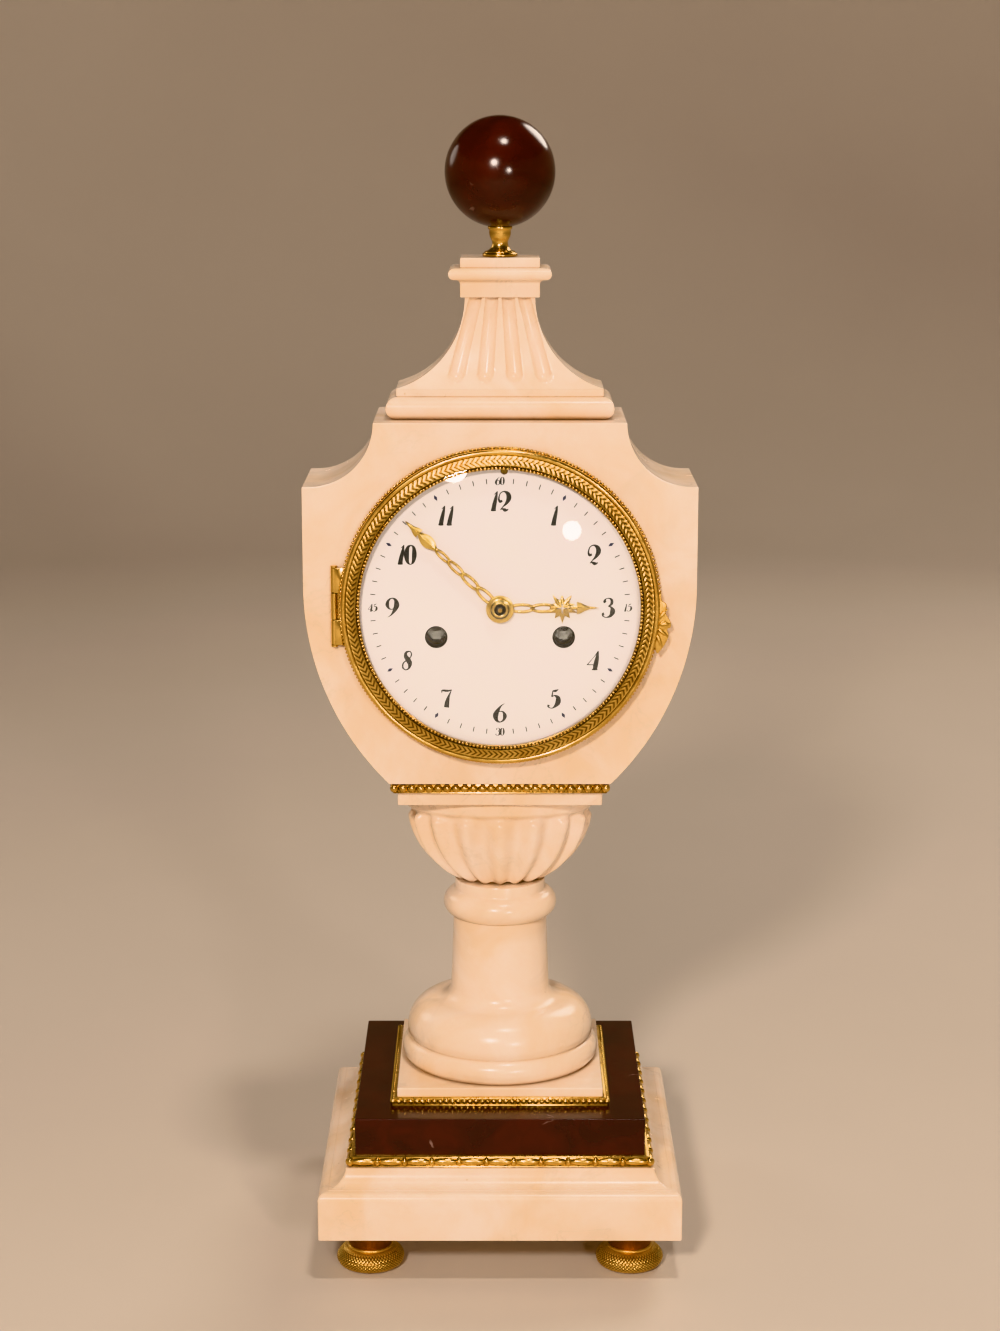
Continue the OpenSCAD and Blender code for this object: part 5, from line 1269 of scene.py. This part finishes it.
def turned_band(name, inner, outer, strokes, tree, cut, finish):
    """Ring with the engine-turned herringbone between two circles, each given as (radius, depth)."""
    sides, rows = strokes * 6, 9
    profile = [tuple(Vector(inner).lerp(Vector(outer), i / (rows - 1))) for i in range(rows)]
    profile += [(outer[0], outer[1] - 0.6), (inner[0], outer[1] - 0.6)]
    around = [k / sides for _ in profile for k in range(sides)]
    up = [min(i, rows - 1) / (rows - 1) for i in range(len(profile)) for _ in range(sides)]
    fade = [1.0 if 0 < i < rows - 1 else 0.0 for i in range(len(profile)) for _ in range(sides)]
    obj = raw(name, ring_loft(profile, sides), finish, {"around": around, "up": up, "fade": fade})
    run_tree(obj, tree, Strokes=strokes, Depth=cut, Finish=finish)
    return onto(obj, 0.0)


def bar(x, low, high, radius, depth):
    """Upright round bar with eased ends beside the dial, as a drawing."""
    ends = [(0.0, low), (radius - 0.3, low), (radius, low + 0.3), (radius, high - 0.3), (radius - 0.3, high),
            (0.0, high)]
    return loft([[Vector((x + p.x, y, depth + p.y)) for p in circle_loop(r, 0.0, 24)] for r, y in ends],
                ends=False)


def slab(x0, x1, y0, y1, z0, z1, ease=0.2):
    """Block with eased edges, as a drawing."""
    middle, hx, hy = Vector(((x0 + x1) / 2, (y0 + y1) / 2, 0.0)), (x1 - x0) / 2, (y1 - y0) / 2
    return loft([[p + middle for p in rect_loop(hx - cut, hy - cut, ease, z, 3)]
                 for cut, z in ((ease, z0), (0.0, z0 + ease), (0.0, z1 - ease), (ease, z1))])


def domed_glass():
    """Domed glass of even thickness that fills its CAD node's box, as a drawing."""
    lo, hi = mm_box("bezel_glass")
    face, thick = dial_centre().y, 1.5
    edge, low = hi.x, face - hi.y
    rise = face - lo.y - low - thick
    big = (edge ** 2 + rise ** 2) / (2 * rise)
    dome_line = [(edge * i / 30,
                  low + math.sqrt(big ** 2 - (edge * i / 30) ** 2) - (big - rise)) for i in range(31)]
    profile = [(a, b + thick) for a, b in dome_line] + dome_line[::-1]
    return loft([circle_loop(a, b, 160) for a, b in profile], ends=False)


class URN_OT_bezel(bpy.types.Operator):
    """Makes the hinged ring with its beads and engine turning, its thumb-piece and its glass"""
    bl_idname = "urn.bezel"
    bl_label = "Bezel and glass"

    def execute(self, context):
        s, shop = context.scene.urn_bezel, finishes()
        bright, turned, matt = (shop[n + "_gilt_bronze"] for n in ("Burnished", "Engine_turned", "Matt"))
        r, opening, depth = s.radius / MM, s.opening / MM, s.depth / MM
        band_in, band_out = (opening + 2.0, depth - 0.4), (opening + 5.9, depth - 1.75)
        profile = ([(opening + a, depth - b) for a, b in
                    ((0.0, 1.6), (0.0, 1.05), (0.15, 0.95), (1.35, 0.95), (1.45, 1.3), (1.6, 1.3),
                     (1.7, 0.45), (1.95, 0.3), (2.0, 0.9), (5.9, 2.25), (5.92, 2.0))]
                   + arc(opening + 7.1, depth - 2.95, 1.3, 148, -38, 14)
                   + [(r - 1.9, depth - 4.9), (r - 2.0, depth - 5.6), (r - 1.9, depth - 6.2),
                      (r - 0.95, depth - 7.0), (r - 0.9, 0.4), (r - 3.6, 0.4), (opening + 3.6, depth - 4.0),
                      (opening + 2.0, depth - 1.7)])
        ring = raw("Bezel", at_dial(ring_loft(profile, 288)), bright)
        tree = path_tree("Bead ring", 8, 6)
        made = [bead_ring(tree, opening + 0.72, depth - 0.62, s.inner_beads, 0.7, bright),
                bead_ring(tree, r - 0.86, depth - 6.4, s.outer_beads, 0.84, bright)]
        band = turned_band("BezelBand", band_in, band_out, s.chevrons, chevron_tree(), s.cut, turned)
        dress(band, "bezel_door", "gilt_bronze", "bezel", sharp=60)
        hinge_x, hinge_z, knuckle = -(r + 1.7), 1.7, 1.5
        for low, high in ((-17.0, -5.97), (5.97, 17.0)):
            leaf = slab(hinge_x, -(r - 3.0), low, high, 2.4, 3.2)
            made.append(raw("hinge", at_dial(bar(hinge_x, low, high, knuckle, hinge_z), leaf), bright))
        dress(join_into(ring, *made), "bezel_door", "gilt_bronze", "bezel", sharp=44)
        dress(thumb_piece(matt), "bezel_door", "gilt_bronze", "bezel_latch", sharp=50)
        piece("BezelGlass", at_dial(domed_glass()), shop["Clear_domed_glass"], "bezel_door", "glass",
              "bezel_glass", sharp=60)
        return {"FINISHED"}


def thumb_piece(finish):
    """Cast leaf with a ribbed shell under it, by which the bezel is opened."""
    lo, hi = mm_box("bezel_latch")
    centre = dial_centre()
    low, top, z0 = lo.z - centre.z, hi.z - centre.z, centre.y - hi.y + 0.9
    mid, x0, x1 = (low + top) / 2, lo.x + 0.6, hi.x
    leaf = rounded([(x0, top - 5.0), (x0 + 2.6, top), (x0 + 3.0, top - 3.4), (x0 + 5.2, top - 5.4),
                    (x0 + 4.9, mid + 4.2), (x1 - 0.2, mid + 0.6), (x1, mid - 1.8), (x0 + 5.6, mid - 2.8),
                    (x0 + 6.2, mid - 5.6), (x0 + 4.9, low + 4.4), (x0 + 3.4, low + 2.2), (x0 + 1.2, low),
                    (x0, low + 5.0), (x0 - 0.3, mid)], 5)
    shapes = [cast(leaf, z0, z0 + 1.5)]
    for dx, dy, reach, turn in ((0.8, 3.2, 6.4, 78), (1.4, 1.6, 6.0, 48), (1.6, -0.6, 5.4, 4),
                                (1.4, -2.4, 5.6, -38), (0.8, -4.2, 7.0, -68)):
        rib = []
        for t in (0.0, 0.2, 0.4, 0.6, 0.8, 1.0):
            x = x0 + dx + math.cos(math.radians(turn)) * reach * t
            y = mid + dy + math.sin(math.radians(turn)) * reach * t
            z = z0 + 1.3 + 0.5 * math.sin(math.pi * t)
            rib.append(Vector((min(x, x1 - 0.6), min(max(y, low + 0.8), top - 0.8), z)))
        shapes.append(tube(rib, (0.35, 0.75, 0.85, 0.75, 0.55, 0.3), 8))
    curl = []
    for t in range(13):
        away, turn = 1.25 * (1 - t / 14), math.radians(40 * t)
        curl.append(Vector((x0 + 3.7 + away * math.cos(turn), mid - 0.4 + away * math.sin(turn),
                            z0 + 1.7 + 0.05 * t)))
    shapes.append(tube(curl, [0.42 - 0.012 * t for t in range(13)], 8))
    return raw("BezelLatch", at_dial(*shapes), finish)


# Pen strokes of the numerals as (x, y, width), in units of the numeral's height
NUMERALS = {
    "0": [[(0.03, 0.5, 0.03), (-0.13, 0.36, 0.11), (-0.2, 0.0, 0.17), (-0.15, -0.36, 0.11), (0.0, -0.5, 0.03),
           (0.14, -0.36, 0.1), (0.2, 0.0, 0.16), (0.17, 0.36, 0.1), (0.03, 0.5, 0.03)]],
    "1": [[(0.17, 0.5, 0.03), (0.1, 0.2, 0.1), (0.01, -0.2, 0.14), (-0.04, -0.47, 0.15)],
          [(0.0, 0.33, 0.02), (0.08, 0.4, 0.03), (0.16, 0.49, 0.03)],
          [(-0.17, -0.47, 0.05), (-0.04, -0.47, 0.07), (0.1, -0.47, 0.05)]],
    "2": [[(-0.09, 0.02, 0.07), (-0.21, -0.02, 0.09), (-0.27, 0.12, 0.06), (-0.2, 0.38, 0.04),
           (0.0, 0.49, 0.05), (0.2, 0.36, 0.14), (0.24, 0.14, 0.16), (0.12, -0.1, 0.1), (-0.05, -0.28, 0.04),
           (-0.18, -0.42, 0.03)],
          [(-0.2, -0.45, 0.03), (-0.1, -0.4, 0.05), (0.03, -0.45, 0.12), (0.13, -0.46, 0.07),
           (0.22, -0.4, 0.03)]],
    "3": [[(-0.12, 0.27, 0.1), (-0.16, 0.34, 0.1), (-0.1, 0.46, 0.04), (0.05, 0.5, 0.04), (0.2, 0.4, 0.09),
           (0.19, 0.2, 0.09), (0.02, 0.07, 0.03)],
          [(0.02, 0.07, 0.03), (0.17, 0.02, 0.07), (0.25, -0.18, 0.18), (0.14, -0.42, 0.1),
           (-0.08, -0.5, 0.04), (-0.24, -0.43, 0.05), (-0.24, -0.33, 0.1), (-0.18, -0.3, 0.09)]],
    "4": [[(0.27, 0.5, 0.03), (0.0, 0.12, 0.025), (-0.3, -0.22, 0.03)],
          [(-0.32, -0.22, 0.04), (0.0, -0.23, 0.03), (0.28, -0.21, 0.03)],
          [(0.27, 0.5, 0.04), (0.21, 0.1, 0.13), (0.14, -0.25, 0.16), (0.1, -0.48, 0.13)],
          [(-0.06, -0.48, 0.04), (0.1, -0.48, 0.06), (0.25, -0.48, 0.04)]],
    "5": [[(-0.04, 0.43, 0.03), (0.08, 0.42, 0.09), (0.17, 0.45, 0.06), (0.26, 0.51, 0.02)],
          [(-0.03, 0.44, 0.04), (-0.06, 0.27, 0.05), (-0.08, 0.1, 0.06)],
          [(-0.08, 0.1, 0.03), (0.06, 0.17, 0.05), (0.23, 0.04, 0.15), (0.22, -0.22, 0.17),
           (0.02, -0.46, 0.06), (-0.15, -0.5, 0.03), (-0.27, -0.42, 0.06), (-0.24, -0.32, 0.09)]],
    "6": [[(0.24, 0.5, 0.02), (0.05, 0.36, 0.05), (-0.13, 0.1, 0.13), (-0.23, -0.16, 0.18),
           (-0.16, -0.42, 0.1), (0.02, -0.5, 0.04), (0.19, -0.38, 0.08), (0.25, -0.16, 0.13),
           (0.16, 0.04, 0.06), (0.0, 0.07, 0.03), (-0.14, -0.04, 0.03)]],
    "7": [[(-0.24, 0.3, 0.02), (-0.22, 0.44, 0.06), (-0.02, 0.43, 0.08), (0.14, 0.44, 0.06),
           (0.28, 0.49, 0.02)],
          [(0.27, 0.48, 0.02), (0.12, 0.14, 0.08), (0.03, -0.2, 0.15), (0.0, -0.47, 0.17)]],
    "8": [[(0.24, 0.34, 0.05), (0.16, 0.48, 0.04), (-0.03, 0.43, 0.08), (-0.07, 0.24, 0.13),
           (0.05, 0.04, 0.17), (0.14, -0.16, 0.15), (0.09, -0.4, 0.07), (-0.07, -0.5, 0.04),
           (-0.22, -0.38, 0.06), (-0.2, -0.16, 0.05), (-0.02, 0.02, 0.04), (0.16, 0.14, 0.04),
           (0.24, 0.34, 0.05)]],
}
NUMERALS["9"] = [[(-x, -y, w) for x, y, w in line] for line in NUMERALS["6"]]
# Widths of the numerals, in the same units
SET = {"0": 0.56, "1": 0.42, "2": 0.6, "3": 0.56, "4": 0.6, "5": 0.56, "6": 0.56, "7": 0.56, "8": 0.52,
       "9": 0.56}


def dome(x, y):
    """Depth of the dial's surface over the case's face."""
    s = bpy.context.scene.urn_dial
    return 4.6 + s.bulge / MM * (1.0 - (x * x + y * y) * MM * MM / s.radius ** 2)


def on_dome(x, y, up):
    """Point of the dial's surface, raised by up."""
    return Vector((x, y, dome(x, y) + up))


def ribbon(line):
    """Pen stroke lying on the dial, from points (x, y, width) in millimetres."""
    dense = open_curve(line)
    loops = []
    for i, p in enumerate(dense):
        ahead = dense[min(i + 1, len(dense) - 1)] - dense[max(i - 1, 0)]
        side = Vector((-ahead.y, ahead.x)).normalized() * max(0.2, 1.6 * p.z) / 2
        a, b = p.xy + side, p.xy - side
        loops.append([on_dome(*q, up) for q, up in ((a, 0.05), (b, 0.05), (b, -0.15), (a, -0.15))])
    return loft(loops)


def written(text, radius, degrees, height):
    """Upright numerals with their middle on a ring of the dial."""
    x, y = round_dial(radius, degrees)
    shapes, at = [], x - sum(SET[c] for c in text) * height / 2
    for c in text:
        middle = at + SET[c] * height / 2
        shapes += [ribbon([(middle + px * height, y + py * height, pw * height) for px, py, pw in line])
                   for line in NUMERALS[c]]
        at += SET[c] * height
    return shapes


def lozenge(degrees, radius, half_length, half_width):
    """Painted lozenge that points to the dial's centre."""
    out = Vector(round_dial(1.0, degrees))
    side = Vector((out.y, -out.x))
    corners = [out * (radius + a * half_length) + side * b * half_width for a, b in
               ((1, 0), (0.3, 0.75), (0, 1), (-0.3, 0.75), (-1, 0), (-0.3, -0.75), (0, -1), (0.3, -0.75))]
    return loft([[on_dome(*q, up) for q in corners] for up in (-0.15, 0.05)])


def enamel_plate(s, finish):
    """Domed dial plate with its holes for the winding arbors, the hands and the pin at the top."""
    radius = s.radius / MM
    low, rim = dial_centre().y - mm_box("dial")[1].y, dome(radius, 0)
    profile = ([(0.0, low), (radius - 0.3, low), (radius, low + 0.3), (radius, rim - 0.5),
                (radius - 0.1, rim - 0.2), (radius - 0.4, rim)]
               + [(a, dome(a, 0)) for a in (radius * (1 - i / 40) for i in range(1, 41))])
    plate = raw("Dial", at_dial(loft([circle_loop(a, b, 192) for a, b in profile], ends=False)), finish)
    holes = [placed(loft([circle_loop(hole, z, 64) for z in (-1.0, 12.0)]), Matrix.Translation((x, y, 0.0)))
             for x, y, hole in ((WINDING_X, WINDING_Y, 4.95), (-WINDING_X, WINDING_Y, 4.95), (0.0, 0.0, 3.4),
                                (1.8, 59.2, 1.6))]
    cutter = raw("holes", at_dial(*holes), finish)
    cut = plate.modifiers.new("Holes", "BOOLEAN")
    cut.operation, cut.solver, cut.object = "DIFFERENCE", "EXACT", cutter
    baked(plate)
    bpy.data.objects.remove(cutter)
    return plate


class URN_OT_dial(bpy.types.Operator):
    """Makes the domed enamel dial with its painted numerals and strokes"""
    bl_idname = "urn.dial"
    bl_label = "Dial"

    def execute(self, context):
        s, shop = context.scene.urn_dial, finishes()
        black = shop["Fired_black_paint"]
        dress(enamel_plate(s, shop["Fired_white_enamel"]), "clock", "enamel", "dial", sharp=45)
        hours, minutes = s.numeral_ring / MM, s.minute_ring / MM
        texts = [(str(hour), hours, 30 * hour, s.numeral / MM) for hour in range(1, 13)]
        texts += [(text, minutes, turn, 3.4)
                  for text, turn in (("60", 0), ("15", 90), ("30", 180), ("45", 270))]
        shapes = [stroke for text in texts for stroke in written(*text)]
        piece("DialNumerals", at_dial(*shapes), black, "clock", "enamel", "dial", sharp=40)
        marks = line_object("DialMinutes", circle_loop(minutes, 0.0, 360), closed=True)
        run_tree(marks, mark_tree(), Count=60, Size=(s.tick, 0.44 * MM, 0.2 * MM), Finish=black)
        dress(onto(marks, dome(minutes, 0) - 0.03), "clock", "enamel", "dial", sharp=30)
        shapes = [lozenge(30 * k, minutes, 1.5, 0.72) for k in range(12) if k % 3]
        piece("DialLozenges", at_dial(*shapes), shop["Fired_blue_paint"], "clock", "enamel", "dial", sharp=40)
        # Black linings in the winding holes: painted shade that stands for the dark inside the holes
        shade_lining = ring_loft([(4.2, 1.0), (4.2, 5.2), (4.45, 5.75), (4.75, 5.8), (4.93, 5.5), (4.93, 1.0)], 64)
        shapes = [placed(shade_lining, Matrix.Translation((x, WINDING_Y, 0.0))) for x in (-WINDING_X, WINDING_X)]
        piece("WindingHoleShadeLinings", at_dial(*shapes), shop["Blackened_steel"], "clock", "steel", "dial", sharp=50)
        return {"FINISHED"}


def pierced(outline, hole, low, high, crown):
    """Plate with a hole of as many points as its outline; the hole's edge stands up by the crown."""
    inner = shrunk(outline, 0.15)
    levels = [(inner, low), (outline, low + 0.15), (outline, high - 0.15), (inner, high),
              (hole, high + crown), (hole, low)]
    return closed_loft([[Vector((p.x, p.y, z)) for p in line] for line, z in levels])


def star(points, long, short, valley, up, turn):
    """Outline of a star above the centre, whose rays are long and short by turns."""
    middle, sides = Vector((0.0, up)), points * 4
    corners = [middle + Vector(round_dial((long, valley, short, valley)[k % 4], 360 * k / sides + turn))
               for k in range(sides)]
    return [p for a, b in zip(corners, corners[1:] + corners[:1]) for p in (a, (a + b) / 2)]


def chain(tree, start, end, count, half_width, wire, finish):
    """Row of open links from start to end along the drawing's Y axis."""
    half = (end - start) / count / 2
    links = line_object("links", (Vector((0, start + half, 0)), Vector((0, end - half, 0))))
    return run_tree(links, tree, Count=count, Half_width=half_width * MM,
                    Half_length=(half + wire * 0.6) * MM, Wire=wire * MM, Finish=finish)


def ridged(right, tip, levels):
    """Solid from the right half of an outline and its tip; the levels hold (share of the width, height)."""
    outline = right + tip + [(-x, y) for x, y in reversed(right)]
    return loft([[Vector((x * share, y, z)) for x, y in outline] for share, z in levels])


def arrow(base, barbs, tip, half_width, low, high):
    """Barbed arrow head, with a neck that runs back to base."""
    right = [(0.75, base), (0.7, barbs - 2.2), (half_width * 0.55, barbs - 2.4), (half_width, barbs - 2.9),
             (half_width * 0.86, barbs - 1.2), (half_width * 0.5, barbs + 0.6), (0.62, barbs + 2.8),
             (0.34, (barbs + tip) / 2 + 2.0), (0.16, tip - 0.8)]
    return ridged(right, [(0.0, tip)],
                  ((0.86, low), (1.0, low + 0.15), (1.0, low + 0.3), (0.55, high), (0.1, high + 0.12)))


def leaf_blade(base, tip, half_width, low, high):
    """Pointed leaf, widest in its middle, with a ridge along it."""
    right = [(0.45 + (half_width - 0.45) * math.sin(math.pi * i / 12) ** 1.3, base + (tip - base) * i / 12)
             for i in range(13)]
    return ridged(right, [], ((0.86, low), (1.0, low + 0.15), (1.0, low + 0.3), (0.6, high),
                              (0.06, high + 0.35)))


def hour_hand(s, tree, gilt):
    """Hour hand: boss, two links, pierced star and arrow head."""
    tip = s.hour_length / MM
    burst = tip * 0.63
    boss = ring_loft([(2.9, -0.2), (4.4, -0.2), (4.6, 0.0), (4.6, 0.35), (4.2, 0.6), (2.9, 0.6)], 48)
    pipe = ring_loft([(2.3, -9.0), (2.9, -9.0), (2.9, 0.5), (2.3, 0.5)], 40)
    hole = []
    for k in range(40):
        turn = 9 * k + 18
        place = round_dial(0.7 + 1.7 * abs(math.cos(math.radians(2 * turn))) ** 6, turn)
        hole.append(Vector((0.0, burst)) + Vector(place))
    rays = pierced(star(5, 6.9, 5.6, 3.5, burst, 18), hole, -0.1, 0.25, 0.5)
    head = arrow(burst + 3.4, tip - 6.6, tip, 2.7, -0.05, 0.55)
    hand = raw("HourHand", joined(boss, pipe, rays, head), gilt)
    stem = raw("stem", slab(-0.5, 0.5, burst - 5.4, burst - 2.2, -0.1, 0.5, 0.15), gilt)
    return join_into(hand, chain(tree, 4.6, burst - 3.4, 2, 1.55, 0.66, gilt), stem)


def minute_hand(s, tree, gilt):
    """Minute hand: boss, four links that grow smaller, leaf and arrow head."""
    tip = s.minute_length / MM
    boss = ring_loft([(1.35, -0.1), (3.4, -0.1), (3.6, 0.05), (3.6, 0.4), (3.3, 0.6), (1.35, 0.6)], 48)
    hand = raw("MinuteHand", joined(boss, leaf_blade(tip * 0.66, tip * 0.87, 2.7, -0.05, 0.4),
                                    arrow(tip * 0.84, tip - 5.4, tip, 2.2, -0.05, 0.5)), gilt)
    start, reach, links = 3.4, tip * 0.665 - 3.4, []
    for k, part in enumerate((0.29, 0.26, 0.24, 0.21)):
        link = chain(tree, start, start + reach * part, 1, 1.65 - 0.2 * k, 0.68 - 0.04 * k, gilt)
        link.data.transform(Matrix.Translation((0, 0, LINK_RISE * MM)))
        links.append(link)
        start += reach * part
    return join_into(hand, *links)


def hand_collet(shop):
    """Stepped collet with the darkened end of the arbor in it, and a black ring of painted shade in its
    groove.
    """
    z = dial_centre().y - mm_box("hand_collet")[1].y
    profile = [(r, z + h) for r, h in
               ((1.35, 0.0), (5.5, 0.0), (5.85, 0.1), (6.0, 0.3), (5.85, 0.5), (5.4, 0.62), (4.7, 0.66),
                (4.55, 0.9), (4.5, 1.1), (4.2, 1.22), (3.6, 1.2), (3.45, 1.3), (3.35, 1.6), (3.1, 1.78),
                (2.75, 1.8), (2.5, 1.65), (2.4, 1.0), (1.35, 0.95))]
    collet = raw("HandCollet", at_dial(ring_loft(profile, 72)), shop["Burnished_gilt_bronze"])
    # Black ring in the collet's groove: painted shade; the slotted and round pieces below are the blackened
    # end of the arbor
    shade_ring_and_arbor_ends = [ring_loft([(3.75, z + 1.1), (3.75, z + 1.3), (4.1, z + 1.3), (4.1, z + 1.1)], 72)]
    for side in (1, -1):
        half = [(0.25 * side, -2.2), (0.25 * side, 2.2)]
        half += [(side * x, y) for x, y in (round_dial(2.3, 18 + 9 * k) for k in range(17))]
        shade_ring_and_arbor_ends.append(loft([[Vector((*place, h)) for place in half] for h in (z + 0.6, z + 1.55)]))
    shade_ring_and_arbor_ends.append(loft([circle_loop(2.45, h, 40) for h in (z + 0.5, z + 1.05)]))
    ends = raw("ends", placed(joined(*shade_ring_and_arbor_ends), on_dial(0.0, math.radians(20))), shop["Blackened_steel"])
    return join_into(collet, ends)


class URN_OT_hands(bpy.types.Operator):
    """Makes the pierced gilt hands and the stepped collet"""
    bl_idname = "urn.hands"
    bl_label = "Hands"

    def execute(self, context):
        s, shop = context.scene.urn_bezel, finishes()
        face, tree, gilt = dial_centre().y, link_tree(), shop["Burnished_gilt_bronze"]
        for make, node, body, angle in ((hour_hand, "hour_hand", "hour_group", s.hour_angle),
                                        (minute_hand, "minute_hand", "minute_group", s.minute_angle)):
            depth = face - mm_box(node)[0].y - 0.6
            dress(onto(make(s, tree, gilt), depth, angle), body, "gilt_bronze", node, sharp=38)
        dress(hand_collet(shop), "minute_group", "gilt_bronze", "hand_collet", sharp=38)
        return {"FINISHED"}


# CAD nodes under each finish of the movement, the rods and the rear door
FINISH_OF = {
    "Burnished_gilt_bronze": "front_ring hinge_pins rear_ring rear_door",
    "Turned_clock_brass": "front_plate back_plate false_plate going_barrel strike_barrel pendulum",
    "Polished_clock_brass": "pillars straps intermediate_wheel centre_wheel third_wheel escape_wheel"
                            " minute_wheel hour_wheel suspension_cock count_wheel pin_wheel"
                            " locking_wheel fly",
    "Polished_steel": "going_winding_arbor strike_winding_arbor tie_rods tie_rod_nuts fasteners clicks"
                      " pallets hammer bell_stand",
    "Blackened_steel": "cannon_pinion",
    "Turned_bell_metal": "bell",
    "Clear_domed_glass": "rear_glass",
}


class URN_OT_movement(bpy.types.Operator):
    """Gives the movement, the rods and the rear door their finishes and turns the door's mouldings"""
    bl_idname = "urn.movement"
    bl_label = "Movement and back"

    def execute(self, context):
        shop = finishes()
        for name, nodes in FINISH_OF.items():
            for node in nodes.split():
                slots = NODES[node].data.materials
                for i in range(len(slots)):
                    slots[i] = shop[name]
        centre, top = dial_centre(), mm_box("rear_door")[1]
        hinge_room = 8.0
        inner, outer, z = mm_box("rear_glass")[1].x, top.z - centre.z - hinge_room, centre.y - top.y
        swell = ((-1.0, 0.4), (-0.6, 0.85), (0.0, 1.0), (0.6, 0.85), (1.0, 0.4))
        turned = []
        for r, w, h in ((inner + 2.6, 1.7, 1.3), (inner + 5.9, 0.6, 0.5), (outer - 6.2, 0.6, 0.5),
                        (outer - 2.6, 2.0, 1.5)):
            turned.append(ring_loft([(r - w, z + 0.2)] + [(r + a * w, z - b * h) for a, b in swell]
                                    + [(r + w, z + 0.2)], 120))
        piece("RearDoorMouldings", at_dial(*turned), shop["Burnished_gilt_bronze"], "rear_cover",
              "gilt_bronze")
        return {"FINISHED"}


# Add-on

STEPS = (URN_OT_stage, URN_OT_feet, URN_OT_base, URN_OT_beading, URN_OT_column, URN_OT_bowl, URN_OT_case,
         URN_OT_pediment, URN_OT_finial, URN_OT_bezel, URN_OT_dial, URN_OT_hands, URN_OT_movement)


class URN_PT_panel(bpy.types.Panel):
    """Sidebar panel with one button for each group of pieces"""
    bl_idname = "URN_PT_panel"
    bl_label = "Urn clock"
    bl_space_type = "VIEW_3D"
    bl_region_type = "UI"
    bl_category = "Urn clock"

    def draw(self, context):
        for step in STEPS:
            self.layout.operator(step.bl_idname)


SETTINGS = {"urn_stage": StageSettings, "urn_stone": StoneSettings, "urn_base": BaseSettings,
            "urn_vase": VaseSettings, "urn_pediment": PedimentSettings, "urn_gilt": GiltSettings,
            "urn_dial": DialSettings, "urn_bezel": BezelSettings}


def register():
    for kind in (*SETTINGS.values(), *STEPS, URN_PT_panel):
        bpy.utils.register_class(kind)
    for name, kind in SETTINGS.items():
        setattr(bpy.types.Scene, name, PointerProperty(type=kind))


def unregister():
    for name in SETTINGS:
        delattr(bpy.types.Scene, name)
    for kind in reversed((*SETTINGS.values(), *STEPS, URN_PT_panel)):
        bpy.utils.unregister_class(kind)


def main():
    register()
    for step in STEPS:
        getattr(bpy.ops.urn, step.bl_idname.split(".")[1])()


if __name__ == "__main__":
    main()
